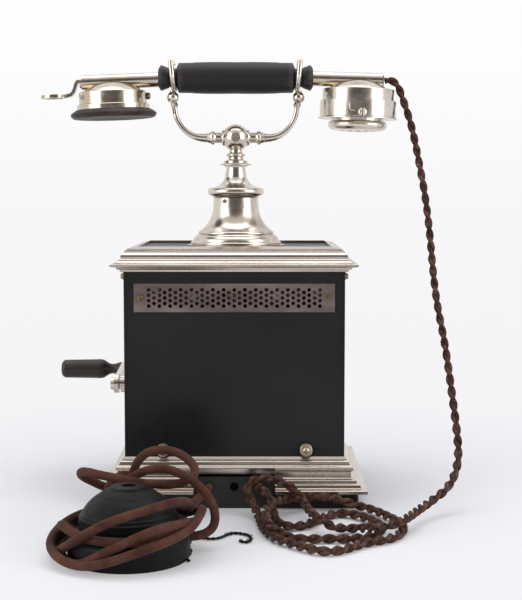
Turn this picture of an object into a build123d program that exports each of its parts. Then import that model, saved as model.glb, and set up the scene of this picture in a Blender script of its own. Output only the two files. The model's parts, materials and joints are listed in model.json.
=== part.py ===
from build123d import *

import os
from math import acos, cos, pi, radians, sin, sqrt, tan

# Table telephone with a magneto crank. Millimetres; X to the right, Y to the back, Z up.
# The origin is the middle of the plinth's underside.

# ------------------------------------------------------------------ clearances
running_gap = 0.05      # round a shaft in its bearing
moving_gap = 0.3        # between pieces that move past each other
seat_gap = 0.2          # round pieces that only sit in place

# ------------------------------------------------------------------ base and case
plinth_overhang = 9.5     # all round the case
plinth_height = 10.5
case_width = 152
case_depth = 126
case_height = 162.5
case_wall = 1.6
panel_thickness = 1.6
rebate_width = 6        # strips inside the case that the front panel closes against
rebate_thickness = 1.2

# Mouldings: (out from the case, up from the moulding's foot, bow of the edge that follows)
base_moulding_steps = [
    (14.6, 0), (15.4, 0.6), (15.4, 2.3, 0.2), (14.3, 3.1), (11.3, 3.5), (11.0, 3.8), (10.6, 5.3, 0.3), (9.5, 6.3),
    (8.3, 6.6), (8.0, 8.0, 0.2), (7.3, 8.7, -1.1), (4.5, 11.6), (4.4, 13.6, -0.2), (5.6, 14.9, 0.4), (5.8, 16.4, 0.4),
    (4.1, 18.0), (3.7, 18.5), (3.5, 19.4, 0.5), (1.9, 21.4), (1.7, 22.0), (0.6, 23.8),
]
cornice_steps = [
    (0.8, 0), (2.2, 0.6), (2.4, 1.7), (4.2, 2.2), (4.6, 3.2), (8.3, 4.1), (8.8, 4.9, 0.3), (7.9, 5.9, -0.4),
    (4.4, 7.0, -0.3), (2.9, 8.9), (2.5, 9.3), (1.7, 9.5, 0.2), (1.5, 12.0, -0.3), (-0.6, 14.6), (-1.1, 14.9),
    (-2.0, 15.2), (-2.0, 15.9),
]
cornice_overlap = 10.9  # how far the cornice reaches down over the case
cornice_rim_inset = 9   # from the case face to the rim's inner edge
cornice_rim_rise = 1.5  # how much the rim's inner edge stands above its outer edge
top_panel_thickness = 4.5

cord_plate_width = 55.5
cord_plate_height = 21
cord_plate_thickness = 3
cord_plate_lift = 0.5
cord_recess_height = 16.5   # above the plinth
cord_recess_back = 1.5      # moulding left at the back of the recess
cord_hole_radius = 3.2
cord_hole_spacing = 17
cord_hole_height = 15
cord_opening_height = 22

# ------------------------------------------------------------------ grille and small screws
grille_inset = 7          # from the case sides
grille_height = 19.6
grille_thickness = 1
grille_level = 144.6
grille_hole_radius = 1.3
grille_column_step = 3.67
grille_row_step = 3.75
grille_end_margin = 9       # plain metal at each end, round the screws
grille_screw_inset = 4.8
grille_slot_margin = 3.2
screw_head_radius = 2.2
screw_head_height = 1.1
screw_shank_radius = 1.2
screw_slot_width = 0.7
side_screw_radius = 2.75
side_screw_height = 2.5
side_screw_inset = 6.5
side_screw_drop = 14

thumb_screw_inset = 26.5     # from the case sides
thumb_screw_level = 39.2
thumb_screw_radius = 4.3
thumb_screw_reach = 6
thumb_shank_radius = 2
thumb_shank_length = 6.5
bracket_width = 12
bracket_thickness = 2
bracket_foot = 9
bracket_height = 35

# ------------------------------------------------------------------ column and cradle
# (radius, height above the top panel, bow)
column_profile = [
    (35.1, 0), (35.1, 1.2), (32.6, 1.5, 0.5), (32.2, 3.6), (31.4, 4.2, 0.7), (28.2, 8.2), (27.5, 9.0, 0.4),
    (26.8, 11.2, -2.6), (16.6, 29.0), (16.2, 35.2), (17.6, 36.0, -0.3), (18.9, 36.9, 1.5), (19.2, 42.4),
    (15.9, 43.0, -1.5), (8.0, 50.2), (6.9, 57.2),
]
column_height = column_profile[-1][1]
column_screw_radius = 1.6
column_screw_offset = -7.8
column_screw_rise = 32.8
column_floor = 4
spring_pocket_radius = 11.5
spring_pocket_height = 35
stem_radius = 4
stem_reach = 85             # from the cradle's underside down to the switch lever
bush_radius = 7
bush_nut_radius = 11
bush_nut_height = 4
spring_coil_radius = 6.6
spring_wire_radius = 0.7
spring_turns = 4
spring_collar_radius = 9
spring_collar_height = 2
spring_height = 22

hub_rise = 21.2             # hub centre above the cradle's underside
hub_radius = 9.8
# (radius, height above the cradle's underside, bow)
cradle_profile = [
    (8.3, 0), (8.5, 0.9), (10.9, 1.2, 0.5), (11.1, 2.2), (9.0, 2.9), (8.6, 4.4, -0.3), (5.7, 5.6), (5.4, 7.0),
    (6.3, 7.7, 0.5), (6.5, 9.4), (4.6, 10.6), (4.4, 13.2),
]
spigot_radius = 3
spigot_length = 6
spool_reach = 15.5
spool_radius = 3.8
hub_disc_radius = 6
hub_disc_start = 8.1
hub_disc_end = 9.9
hub_screw_radius = 3
hub_screw_height = 1.4
fork_ring_radius = 5.5
fork_ring_width = 2.5
fork_arm_radius = 3.4
fork_tip_radius = 1.85
# Middle of the fork arm: (out from the middle, up from the hub)
fork_arm_points = [(20.5, 0.0), (25.3, 0.1), (31.0, 1.5), (36.3, 4.7), (40.2, 9.1), (42.5, 13.4), (43.8, 17.6), (44.5, 21.8)]
fork_collar_radius = 3.1
fork_collar_height = 3.2
fork_collar_taper = 28       # degrees, each side of its middle
fork_ball_radius = 4.4
fork_ball_rise = 28.9       # above the hub
prong_radius = 1.85
prong_spread = 11
prong_length = 8.6
prong_lean = 0.8
saddle_gap = 0.3

# ------------------------------------------------------------------ handset
grip_axis_rise = 43.0       # above the hub
grip_length = 82.4
grip_radius = 11.3
grip_end_radius = 10.75
grip_cone_length = 1.9
neck_radius = 6.65
neck_length = 5.2
collar_length = 7.6
collar_radius = 9.2
collar_end_radius = 6.5
tube_radius = 5.3
tube_socket = 7
ear_tube_drop = 1.25        # tube axis below the grip axis at the collar
mouth_tube_drop = 0.5
ear_tube_length = 55.5
mouth_tube_length = 50.3
ear_tilt = 2.2
mouth_tilt = 1.55
ear_can_reach = 33.6        # from the collar to the axis of the can
mouth_can_reach = 33.3
can_wall = 1.2
ear_can_top = -7.5          # heights below the tube's axis
mouth_can_top = -6.8
saddle_dome_radius = 22
ear_dome_apex = 0.0
mouth_dome_apex = 0.3
ear_can_radius = 24.5
ear_can_bottom = -16.8
ear_groove_depth = 0.6
ear_groove_height = 0.6
ear_ring_radius = 26.2
ear_ring_bottom = -20.2
ear_cap_radius = 31.2
ear_cap_shoulder = 26.8
ear_cap_widest = -23.6
ear_cap_bottom = -26.5
ear_dish_depth = 2.4
ear_hole_radius = 6
diaphragm_thickness = 0.5
receiver_unit_radius = 17
receiver_unit_height = 8
receiver_step = 9           # its lower part is this much narrower all round
mouth_can_radius = 25.9
mouth_can_step = -15.3
mouth_lower_radius = 27.6
mouth_lip_radius = 28.7
mouth_can_bottom = -28.2
mouth_lip_height = 1.3
mouth_neck_radius = 18.4
mouth_neck_length = 1.4
mouth_cap_radius = 21.3
mouth_cap_height = 6.7
mouth_cap_bulge = 1.2
mouth_cap_edge = 3.4         # width of the rounded edge under the rim
mouth_cap_wall = 1.2
mouth_hole_radius = 1.5
mouth_hole_rings = [(6, 6), (12, 12)]     # (radius of the ring, number of holes)
mouth_opening_radius = 16
capsule_radius = 19
capsule_height = 10
knob_radius = 2.5
knob_length = 2.7
bayonet_stud_radius = 3.1
bayonet_stud_height = 1.2
bayonet_stud_place = (1.3, 3.4)     # right of the transmitter's middle, and above its lip
cord_bush_length = 0.8
cord_bush_radius = 4.5
cord_bush_end_radius = 4.1
hook_thickness = 2.3
hook_width = 6
hook_ring_radius = 9.5
hook_ring_hole_radius = 6
# Middle of the hook's strap: (out from the tube's end, up from the tube's axis)
hook_points = [(1.5, 0.9), (3.2, 0.6), (4.3, -1.1), (5.2, -4.0), (6.5, -6.8), (8.3, -8.6), (12.6, -9.5)]
hook_plug_radius = 4.2
hook_plug_length = 1.5

# ------------------------------------------------------------------ crank and magneto
crank_level = 76
crank_shaft_radius = 4
crank_bush_radius = 6.5
crank_bush_flange_radius = 10
crank_bush_flange = 2
crank_bush_reach = 9
crank_bush_tail = 5
crank_arm_thickness = 3.3
crank_arm_gap = 1.5
crank_arm_radius = 52.7
crank_arm_rise = 4
crank_hub_radius = 7
crank_arm_end_radius = 5.2
crank_nut_radius = 5
crank_nut_height = 2.6
spindle_radius = 2.5
spindle_length = 41
crank_grip_length = 46.4
# (distance from the grip's inner end, radius, bow)
crank_grip_profile = [
    (0, 5.1), (1.6, 5.1), (4.4, 4.1, -0.4), (9.5, 4.3), (13.5, 6.9, 0.3), (19.0, 7.35), (42.5, 6.95, 0.9),
    (46.4, 4.2),
]
gear_clearance = 1.3        # between the drive gear's teeth and the mounting plate
drive_teeth = 48
pinion_teeth = 12
gear_width = 6
gear_backlash = 0.3
gear_inset = 14             # outer face of the drive gear, from the case side
magneto_gap = 6             # between the drive gear and the left bearing plate
magneto_plate_thickness = 2
magneto_clearance = 2       # between the magnets and the mounting plate
magneto_plate_height = 80
magneto_length = 48
magnet_count = 3
magnet_width = 12
magnet_thickness = 7
magnet_leg_bottom = 22
magnet_arch_level = 78
pole_height = 34
pole_gap = 0.6
armature_radius = 13
armature_slot = 11
armature_shaft_radius = 3
shaft_end = 2               # how far the shafts stand out of the bearing plates

# ------------------------------------------------------------------ ringer
mounting_plate_inset = 30       # its front face, from the case front
mounting_plate_thickness = 2
mounting_plate_top = 168
wire_notch_width = 50
wire_notch_height = 14
gong_radius = 24
gong_depth = 14
gong_wall = 1.3
gong_shoulder = 8           # width of its curved outer part
gong_crown = 6              # radius of its flat top
gong_level = 145
gong_gap = 10                   # between the two rims
gong_rim_reach = 7              # in front of the mounting plate
gong_post_radius = 3
ringer_coil_radius = 9.5
ringer_core_radius = 4
ringer_coil_height = 31
ringer_coil_spacing = 30
ringer_yoke_level = 68
ringer_yoke_thickness = 4
ringer_yoke_width = 48
ringer_reach = 13               # middle of the coils, in front of the mounting plate
rocker_length = 40
rocker_thickness = 3
rocker_depth = 8
rocker_air_gap = 5
rocker_pin_radius = 1.5
clapper_rod_radius = 1
clapper_ball_radius = 3.5
clapper_ball_reach = 9

# ------------------------------------------------------------------ hook switch and circuit
switch_pivot_place = 24
switch_pivot_radius = 2
switch_lever_width = 8
switch_lever_thickness = 3
switch_lever_tail = 14
switch_hub_radius = 4
switch_cheek_gap = 0.4
switch_cheek_thickness = 1.5
switch_cheek_depth = 20
switch_cheek_drop = 6           # cheek below the pivot
contact_block_depth = 10
contact_block_width = 16
contact_count = 3
contact_step = 4
contact_thickness = 0.5
contact_width = 7

coil_start = 8
coil_length = 58
coil_cheek = 29
coil_cheek_thickness = 2
coil_inset = 20                 # its middle, from the case back
winding_radius = 12
core_radius = 5
capacitor_size = (50, 28, 34)
capacitor_inset = 39        # its middle, from the case's right side
capacitor_setback = 55      # its middle, from the case front
terminal_block_size = (56, 12, 8.5)
terminal_block_inset = 13       # its middle, from the case front
terminal_count = 5
terminal_step = 11
terminal_radius = 2.2
terminal_height = 4

# ------------------------------------------------------------------ rosette and cords
rosette_place = (-60.5, -191)
rosette_radius = 36.5
rosette_height = 15
# (radius, height above the base, bow)
rosette_profile = [
    (29.7, 0), (29.7, 10.4), (28.6, 11.2), (28.3, 12.8), (27.6, 13.2, 1.0), (18.4, 22.7, 0.4), (11.8, 26.6),
    (10.9, 26.8), (10.7, 28.0), (9.8, 28.4),
]
rosette_screw_radius = 3.5
rosette_screw_depth = 1.6
line_cord_radius = 2.75
winding_outer_radius = 47.5
winding_bottom = 1
winding_top = 32
winding_shoulder = 12
hand_cord_radius = 3.15
heap_height = 9.5
heap_bottom = 0.2

hand_lead_points = [(107.9, 0, 297.2), (111.0, 0, 297.6), (114.0, 0, 296.9), (116.6, 0, 294.6), (118.6, 0, 291.2), (121.0, 0, 284.4)]
hand_run_points = [
    (121.15, 0, 284.1), (123.6, -0.5, 277.0), (126.6, -1.0, 268.0), (130.0, -2.0, 254.0), (133.4, -4.0, 236.0),
    (136.7, -6.0, 218.0), (139.0, -9.0, 200.0), (140.8, -12.5, 181.0), (142.0, -18.0, 160.0), (144.2, -25.0, 137.0),
    (148.8, -35.0, 110.0), (151.2, -44.0, 87.0), (153.2, -52.5, 66.0), (154.6, -61.5, 48.0), (154.2, -70.5, 34.0),
    (149.6, -79.5, 22.4), (141.4, -88.5, 13.8), (130.0, -98.0, 7.0), (118.4, -107.5, 3.8), (109.0, -116.0, 3.4),
]
hand_end_points = [(17, -69.5, 15), (17, -77, 15), (18.6, -86, 13), (22, -94.5, 9.6), (27, -104, 6.5)]
hand_ring_points = [
    (50, -99, 4.5), (45.5, -91, 9.5), (38.5, -84.5, 16.5), (29.5, -81.5, 22.3), (19.0, -80.8, 23.4), (10.6, -82.0, 19.2),
    (8.0, -85.0, 12.4), (10.8, -91.5, 7.0), (16.0, -101, 4.2),
]
heap_outline = [
    (45, -93), (62, -103), (88, -99), (112, -100), (119, -112), (116, -140), (97, -163), (80, -188), (60, -196),
    (38, -186), (19, -163), (11, -138), (13, -104), (26, -94),
]
line_run_points = [
    (-17, -69.5, 15), (-17, -77.5, 15), (-22.0, -88.5, 13.4), (-29.5, -101, 10.6), (-38.5, -114.5, 10.2),
    (-47, -128.5, 11.8), (-54, -142.5, 14.5),
]
line_loop_points = [
    (-76.5, -145.2, 14), (-71.0, -143.5, 24.0), (-66.0, -142.0, 35.0), (-61.0, -142.0, 46.5), (-52.5, -142.5, 54.0),
    (-41.5, -143.5, 56.6), (-30.6, -146.0, 53.6), (-22.6, -149.5, 46.5), (-21.6, -154.0, 39.2),
    (-29.5, -158.6, 36.4), (-41.0, -161.5, 37.4), (-55.0, -164.5, 41.2), (-69.5, -166.5, 43.8),
    (-84.0, -164.5, 44.2), (-94.0, -157.8, 43.4), (-97.2, -147.8, 39.2), (-90.5, -139.0, 33.0),
    (-79.5, -135.4, 28.4), (-68.5, -137.6, 29.0), (-61.4, -144.0, 35.0), (-54.0, -150.6, 41.8),
    (-43.0, -156.6, 45.6), (-31.6, -161.8, 42.8), (-21.4, -166.0, 35.8), (-13.2, -169.4, 26.0),
    (-9.4, -171.6, 16.0), (-12.4, -173.4, 9.0), (-17.6, -175.0, 7.0),
]

# ------------------------------------------------------------------ worked out from the sizes above
plinth_width = case_width + 2 * plinth_overhang
plinth_depth = case_depth + 2 * plinth_overhang
grille_width = case_width - 2 * grille_inset
grille_columns = int((grille_width - 2 * grille_end_margin) / 2 / grille_column_step) + 1
thumb_screw_spacing = case_width - 2 * thumb_screw_inset
case_bottom = plinth_height
case_top = case_bottom + case_height
case_front = -case_depth / 2
case_side = case_width / 2
inner_width = case_width - 2 * case_wall
inner_top = case_top - case_wall
panel_back = case_front + panel_thickness
top_level = case_top + top_panel_thickness
cradle_base = top_level + column_height + moving_gap
hub_level = cradle_base + hub_rise
grip_level = hub_level + grip_axis_rise
grip_end = grip_length / 2
neck_start = grip_end + grip_cone_length
collar_start = neck_start + neck_length
collar_end = collar_start + collar_length
stem_bottom = cradle_base - stem_reach
gear_place = -case_side + gear_inset
magneto_left = gear_place + gear_width + magneto_gap
mounting_plate_place = case_front + mounting_plate_inset
magneto_room = -mounting_plate_place - mounting_plate_thickness     # from the crank's axis forward to the plate
gear_module = (magneto_room - gear_clearance) / (drive_teeth / 2 + 0.75)
magneto_plate_width = 2 * (magneto_room - magnet_thickness - magneto_clearance)
gong_rim_place = mounting_plate_place - gong_rim_reach
ringer_place = mounting_plate_place - ringer_reach
clapper_ball_place = mounting_plate_place - clapper_ball_reach
coil_place = -case_front - coil_inset
terminal_block_place = case_front + terminal_block_inset


def dome_bow(radius, rise):
    """Bow of an edge that ends on the axis and turns into part of a ball."""
    ball = (radius ** 2 + rise ** 2) / 2 / rise
    return ball - sqrt(ball ** 2 - (radius ** 2 + rise ** 2) / 4)


def outline(points):
    """Closed face through (across, up) corners; a third number bows out the edge that follows."""
    loop = list(zip(points, points[1:] + points[:1]))
    area = sum(start[0] * end[1] - end[0] * start[1] for start, end in loop)
    outward = -1 if area > 0 else 1
    with BuildSketch() as face:
        with BuildLine():
            for start, end in loop:
                if len(start) > 2:
                    SagittaArc(start[:2], end[:2], outward * start[2])
                else:
                    Line(start[:2], end[:2])
        make_face()
    return face.sketch


def lifted(points, rise):
    """The same corners, moved up."""
    return [(across, up + rise, *bow) for across, up, *bow in points]


def moulding_face(half_span, foot, steps):
    """End view of a moulded block: a rectangle whose two sides follow the moulding's steps."""
    edge = [(half_span + out, foot + up, *bow) for out, up, *bow in steps]
    with BuildSketch() as face:
        with BuildLine():
            Line((0, edge[0][1]), edge[0][:2])
            for start, end in zip(edge, edge[1:]):
                if len(start) > 2:
                    SagittaArc(start[:2], end[:2], -start[2])
                else:
                    Line(start[:2], end[:2])
            Line(edge[-1][:2], (0, edge[-1][1]))
            mirror(about=Plane.YZ)
        make_face()
    return face.sketch


def upright_plane(x, z, tilt=0):
    """Plane facing the front, its second direction leaning to the left by the tilt."""
    lean = radians(tilt)
    return Plane(origin=(x, 0, z), x_dir=(cos(lean), 0, sin(lean)), z_dir=(0, -1, 0))


def cord_line(name, points):
    """Straight runs joined by arcs as large as the runs beside each corner allow."""
    corners = [Vector(*point) for point in points]
    radii = []
    for before, corner, after in zip(corners, corners[1:], corners[2:]):
        turn = radians((corner - before).get_angle(after - corner))
        shorter = min((corner - before).length, (after - corner).length)
        radii.append(0.45 * shorter / tan(turn / 2))
    with BuildLine() as line:
        FilletPolyline(*points, radius=radii)
    route = line.wire()
    print(name, "length", round(route.length, 1), "radii", [round(radius, 1) for radius in radii])
    return route


def gear_corners(teeth, turn):
    """Corners of a spur gear with stub teeth and straight flanks, the first tooth at the turn."""
    pitch_radius = gear_module * teeth / 2
    base_radius = pitch_radius * cos(radians(20))
    corners = []
    for tooth in range(teeth):
        for side, radius in ((-1, pitch_radius - 1.1 * gear_module), (-1, pitch_radius + 0.75 * gear_module),
                             (1, pitch_radius + 0.75 * gear_module), (1, pitch_radius - 1.1 * gear_module)):
            flank = acos(min(1, base_radius / radius))
            shift = (tan(radians(20)) - radians(20)) - (tan(flank) - flank)
            half = pi / 2 / teeth - gear_backlash / 2 / pitch_radius + shift
            angle = radians(turn) + 2 * pi * tooth / teeth + side * half
            corners.append((radius * cos(angle), radius * sin(angle)))
    return corners


# ================================================================== base
with BuildPart() as plinth:
    with BuildSketch():
        Rectangle(plinth_width, plinth_depth)
    extrude(amount=plinth_height)
    fillet(plinth.edges().filter_by(Axis.Z), 2)
    with BuildSketch(Plane.XY.offset(0)):
        with Locations((0, -plinth_depth / 2)):
            Rectangle(cord_plate_width + 2 * seat_gap, 2 * (cord_plate_thickness + seat_gap))
    extrude(amount=plinth_height, mode=Mode.SUBTRACT)
plinth.part.label = "plinth"

moulding_height = base_moulding_steps[-1][1]
with BuildPart() as base_moulding:
    with BuildSketch(Plane.XZ):
        add(moulding_face(case_width / 2, plinth_height, base_moulding_steps))
    extrude(amount=plinth_depth, both=True)
    with BuildSketch(Plane.YZ):
        add(moulding_face(case_depth / 2, plinth_height, base_moulding_steps))
    extrude(amount=plinth_width, both=True, mode=Mode.INTERSECT)
    with BuildSketch(Plane.XY.offset(plinth_height)):
        Rectangle(case_width, case_depth)
    extrude(amount=moulding_height, mode=Mode.SUBTRACT)
    with BuildSketch(Plane.XY.offset(plinth_height)):
        with Locations((0, case_front - cord_recess_back - plinth_depth / 4)):
            Rectangle(cord_plate_width + 2 * seat_gap, plinth_depth / 2)
    extrude(amount=cord_recess_height, mode=Mode.SUBTRACT)
    with BuildSketch(Plane.XY.offset(plinth_height)):
        with Locations((0, case_front)):
            Rectangle(cord_plate_width - 4, 2 * case_wall + 2 * cord_recess_back)
    extrude(amount=cord_opening_height - plinth_height, mode=Mode.SUBTRACT)
base_moulding.part.label = "base_moulding"

plate_front = -plinth_depth / 2
with BuildPart() as cord_plate:
    with BuildSketch(Plane.XY.offset(cord_plate_lift)):
        with Locations((0, plate_front + cord_plate_thickness / 2)):
            Rectangle(cord_plate_width, cord_plate_thickness)
    extrude(amount=cord_plate_height)
    with BuildSketch(Plane.XY.offset(plinth_height)):
        with Locations((0, (plate_front + case_front - cord_recess_back) / 2 + cord_plate_thickness / 2)):
            Rectangle(cord_plate_width, case_front - cord_recess_back - plate_front - cord_plate_thickness)
    extrude(amount=1.5)
    with BuildSketch(Plane.XZ.offset(-plate_front)):
        with Locations((0, cord_hole_height)):
            with GridLocations(cord_hole_spacing, 1, 3, 1):
                Circle(cord_hole_radius)
    extrude(amount=-cord_plate_thickness, mode=Mode.SUBTRACT)
cord_plate.part.label = "cord_plate"

# ================================================================== case
bush_hole_radius = bush_radius + seat_gap / 2
side_screw_level = case_top - side_screw_drop
side_screw_places = [(place, side_screw_level) for place in
                     (case_front + side_screw_inset, -case_front - side_screw_inset)]
with BuildPart() as case_shell:
    with BuildSketch(Plane.XY.offset(case_bottom)):
        Rectangle(case_width, case_depth)
        with Locations((0, -case_wall)):
            Rectangle(inner_width, case_depth, mode=Mode.SUBTRACT)
    extrude(amount=case_height)
    with BuildSketch(Plane.XY.offset(inner_top)):
        with Locations((0, -case_wall / 2)):
            Rectangle(inner_width, case_depth - case_wall)
    extrude(amount=case_wall)
    with BuildSketch(Plane.XY.offset(case_bottom)):
        with Locations((0, panel_back + rebate_thickness / 2)):
            with GridLocations(inner_width - rebate_width, 1, 2, 1):
                Rectangle(rebate_width, rebate_thickness)
    extrude(amount=inner_top - case_bottom)
    with BuildSketch(Plane.XY.offset(inner_top)):
        Circle(bush_hole_radius)
    extrude(amount=case_wall, mode=Mode.SUBTRACT)
    with BuildSketch(Plane.YZ.offset(-case_side)):
        with Locations((0, crank_level)):
            Circle(crank_bush_radius - 1 + seat_gap / 2)
    extrude(amount=case_wall, mode=Mode.SUBTRACT)
    with BuildSketch(Plane.YZ.offset(-case_side)):
        with Locations(*side_screw_places):
            Circle(screw_shank_radius + seat_gap / 2)
    extrude(amount=case_width, mode=Mode.SUBTRACT)
case_shell.part.label = "case_shell"

panel_height = inner_top - case_bottom - seat_gap
grille_screw_offset = grille_width / 2 - grille_screw_inset
with BuildPart() as front_panel:
    with BuildSketch(Plane.XZ.offset(-case_front)):
        with Locations((0, case_bottom + panel_height / 2)):
            Rectangle(inner_width - 2 * seat_gap, panel_height)
        with Locations((0, grille_level)):
            Rectangle(grille_width - 4 * grille_screw_inset, grille_height - 2 * grille_slot_margin,
                      mode=Mode.SUBTRACT)
            with GridLocations(2 * grille_screw_offset, 1, 2, 1):
                Circle(screw_shank_radius + seat_gap / 2, mode=Mode.SUBTRACT)
        with Locations((0, thumb_screw_level)):
            with GridLocations(thumb_screw_spacing, 1, 2, 1):
                Circle(thumb_shank_radius + running_gap, mode=Mode.SUBTRACT)
        with Locations((0, case_bottom)):
            Rectangle(cord_plate_width - 4, 2 * (cord_opening_height - case_bottom), mode=Mode.SUBTRACT)
    extrude(amount=-panel_thickness)
front_panel.part.label = "front_panel"

bracket_face = panel_back + moving_gap
with BuildPart() as panel_brackets:
    with BuildSketch(Plane.XY.offset(case_bottom)):
        with GridLocations(thumb_screw_spacing, 1, 2, 1):
            with Locations((0, bracket_face + bracket_foot / 2)):
                Rectangle(bracket_width, bracket_foot)
    extrude(amount=bracket_thickness)
    with BuildSketch(Plane.XY.offset(case_bottom)):
        with GridLocations(thumb_screw_spacing, 1, 2, 1):
            with Locations((0, bracket_face + bracket_thickness / 2)):
                Rectangle(bracket_width, bracket_thickness)
    extrude(amount=bracket_height)
    with BuildSketch(Plane.XZ.offset(-bracket_face)):
        with Locations((0, thumb_screw_level)):
            with GridLocations(thumb_screw_spacing, 1, 2, 1):
                Circle(thumb_shank_radius + running_gap)
    extrude(amount=-bracket_thickness, mode=Mode.SUBTRACT)
panel_brackets.part.label = "panel_brackets"

with BuildPart() as grille_plate:
    with BuildSketch(Plane.XZ.offset(-case_front)):
        with Locations((0, grille_level)):
            Rectangle(grille_width, grille_height)
            with GridLocations(2 * grille_column_step, grille_row_step, grille_columns, 4):
                Circle(grille_hole_radius, mode=Mode.SUBTRACT)
            with GridLocations(2 * grille_column_step, grille_row_step, grille_columns - 1, 3):
                Circle(grille_hole_radius, mode=Mode.SUBTRACT)
            with GridLocations(2 * grille_screw_offset, 1, 2, 1):
                Circle(screw_shank_radius + seat_gap / 2, mode=Mode.SUBTRACT)
    extrude(amount=grille_thickness)
grille_plate.part.label = "grille_plate"

grille_face = case_front - grille_thickness
side_faces = [Plane.YZ.offset(case_side), Plane(origin=(-case_side, 0, 0), x_dir=(0, 1, 0), z_dir=(-1, 0, 0))]
with BuildPart() as case_screws:
    with BuildSketch(Plane.XZ.offset(-grille_face)):
        with Locations((0, grille_level)):
            with GridLocations(2 * grille_screw_offset, 1, 2, 1):
                Circle(screw_head_radius)
    extrude(amount=screw_head_height, taper=12)
    with BuildSketch(Plane.XZ.offset(-grille_face + screw_head_height)):
        with Locations((0, grille_level)):
            with GridLocations(2 * grille_screw_offset, 1, 2, 1):
                Rectangle(screw_slot_width, 2 * screw_head_radius, rotation=35)
    extrude(amount=-screw_head_height / 2, mode=Mode.SUBTRACT)
    with BuildSketch(Plane.XZ.offset(-grille_face)):
        with Locations((0, grille_level)):
            with GridLocations(2 * grille_screw_offset, 1, 2, 1):
                Circle(screw_shank_radius)
    extrude(amount=-grille_thickness - panel_thickness - 1)
    for face in side_faces:
        flip = 1 if face.z_dir.X > 0 else -1
        with BuildSketch(face):
            for place, level in side_screw_places:
                with Locations((place, flip * level)):
                    Circle(side_screw_radius)
        extrude(amount=side_screw_height, taper=26)
        with BuildSketch(face):
            for place, level in side_screw_places:
                with Locations((place, flip * level)):
                    Circle(screw_shank_radius)
        extrude(amount=-case_wall - 1)
case_screws.part.label = "case_screws"

# Thumb screws: (radius, distance out from the panel, bow)
thumb_crown = 0.9
thumb_profile = [
    (0, moving_gap), (thumb_screw_radius, moving_gap), (thumb_screw_radius, 1.5), (thumb_screw_radius - 0.7, 1.9),
    (thumb_screw_radius - 0.7, 2.4), (thumb_screw_radius, 2.8), (thumb_screw_radius, thumb_screw_reach - 1.6, 0.4),
    (thumb_screw_radius - 1.2, thumb_screw_reach - 0.6), (2.2, thumb_screw_reach - 0.6, dome_bow(2.2, thumb_crown)),
    (0, thumb_screw_reach - 0.6 + thumb_crown),
]


def thumb_screw_outline():
    """Half section of a thumb screw, out from the panel, with its shank running inwards."""
    return outline([(0, -thumb_shank_length), (thumb_shank_radius, -thumb_shank_length),
                    (thumb_shank_radius, moving_gap)] + thumb_profile[1:])


thumb_screws = []
for side, place in (("left", -thumb_screw_spacing / 2), ("right", thumb_screw_spacing / 2)):
    seat = Plane(origin=(place, case_front, thumb_screw_level), x_dir=(1, 0, 0), z_dir=(0, 0, 1))
    with BuildPart() as thumb_screw:
        with BuildSketch(Plane(origin=seat.origin, x_dir=(1, 0, 0), z_dir=(0, 0, -1))):
            add(thumb_screw_outline())
        revolve(axis=Axis(seat.origin, (0, -1, 0)))
    thumb_screw.part.label = "thumb_screw_" + side
    thumb_screws.append(thumb_screw)

# ================================================================== top
cornice_foot = case_top - cornice_overlap
cornice_steps_up = cornice_steps + [(-cornice_rim_inset, cornice_steps[-1][1] + cornice_rim_rise)]
with BuildPart() as cornice:
    with BuildSketch(Plane.XZ):
        add(moulding_face(case_width / 2, cornice_foot, cornice_steps_up))
    extrude(amount=plinth_depth, both=True)
    with BuildSketch(Plane.YZ):
        add(moulding_face(case_depth / 2, cornice_foot, cornice_steps_up))
    extrude(amount=plinth_width, both=True, mode=Mode.INTERSECT)
    with BuildSketch(Plane.XY.offset(cornice_foot)):
        Rectangle(case_width, case_depth)
    extrude(amount=cornice_overlap, mode=Mode.SUBTRACT)
    with BuildSketch(Plane.XY.offset(cornice_foot)):
        Rectangle(case_width - 2 * cornice_rim_inset, case_depth - 2 * cornice_rim_inset)
    extrude(amount=2 * cornice_overlap, mode=Mode.SUBTRACT)
cornice.part.label = "cornice"

with BuildPart() as top_panel:
    with BuildSketch(Plane.XY.offset(case_top)):
        Rectangle(case_width - 2 * cornice_rim_inset - 2 * seat_gap, case_depth - 2 * cornice_rim_inset - 2 * seat_gap)
        Circle(bush_hole_radius, mode=Mode.SUBTRACT)
    extrude(amount=top_panel_thickness)
top_panel.part.label = "top_panel"

# ================================================================== column and cradle
spring_base = top_level + column_floor + running_gap
with BuildPart() as bell_column:
    with BuildSketch(Plane.XZ):
        add(outline(lifted(column_profile[:-1] + [
            (column_profile[-1][0], column_height), (stem_radius + running_gap, column_height),
            (stem_radius + running_gap, spring_pocket_height + 6), (spring_pocket_radius, spring_pocket_height),
            (spring_pocket_radius, column_floor), (bush_hole_radius, column_floor), (bush_hole_radius, 0),
        ], top_level)))
    revolve(axis=Axis.Z)
    with BuildSketch(Plane.XZ.offset(spring_pocket_radius + 2)):
        with Locations((column_screw_offset, top_level + column_screw_rise)):
            Circle(column_screw_radius)
    extrude(amount=10, mode=Mode.SUBTRACT)
bell_column.part.label = "bell_column"

with BuildPart() as guide_bush:
    with BuildSketch(Plane.XZ):
        add(outline([
            (stem_radius + running_gap, inner_top - bush_nut_height), (bush_nut_radius, inner_top - bush_nut_height),
            (bush_nut_radius, inner_top), (bush_radius, inner_top), (bush_radius, spring_base),
            (stem_radius + running_gap, spring_base),
        ]))
    revolve(axis=Axis.Z)
guide_bush.part.label = "guide_bush"

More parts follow.
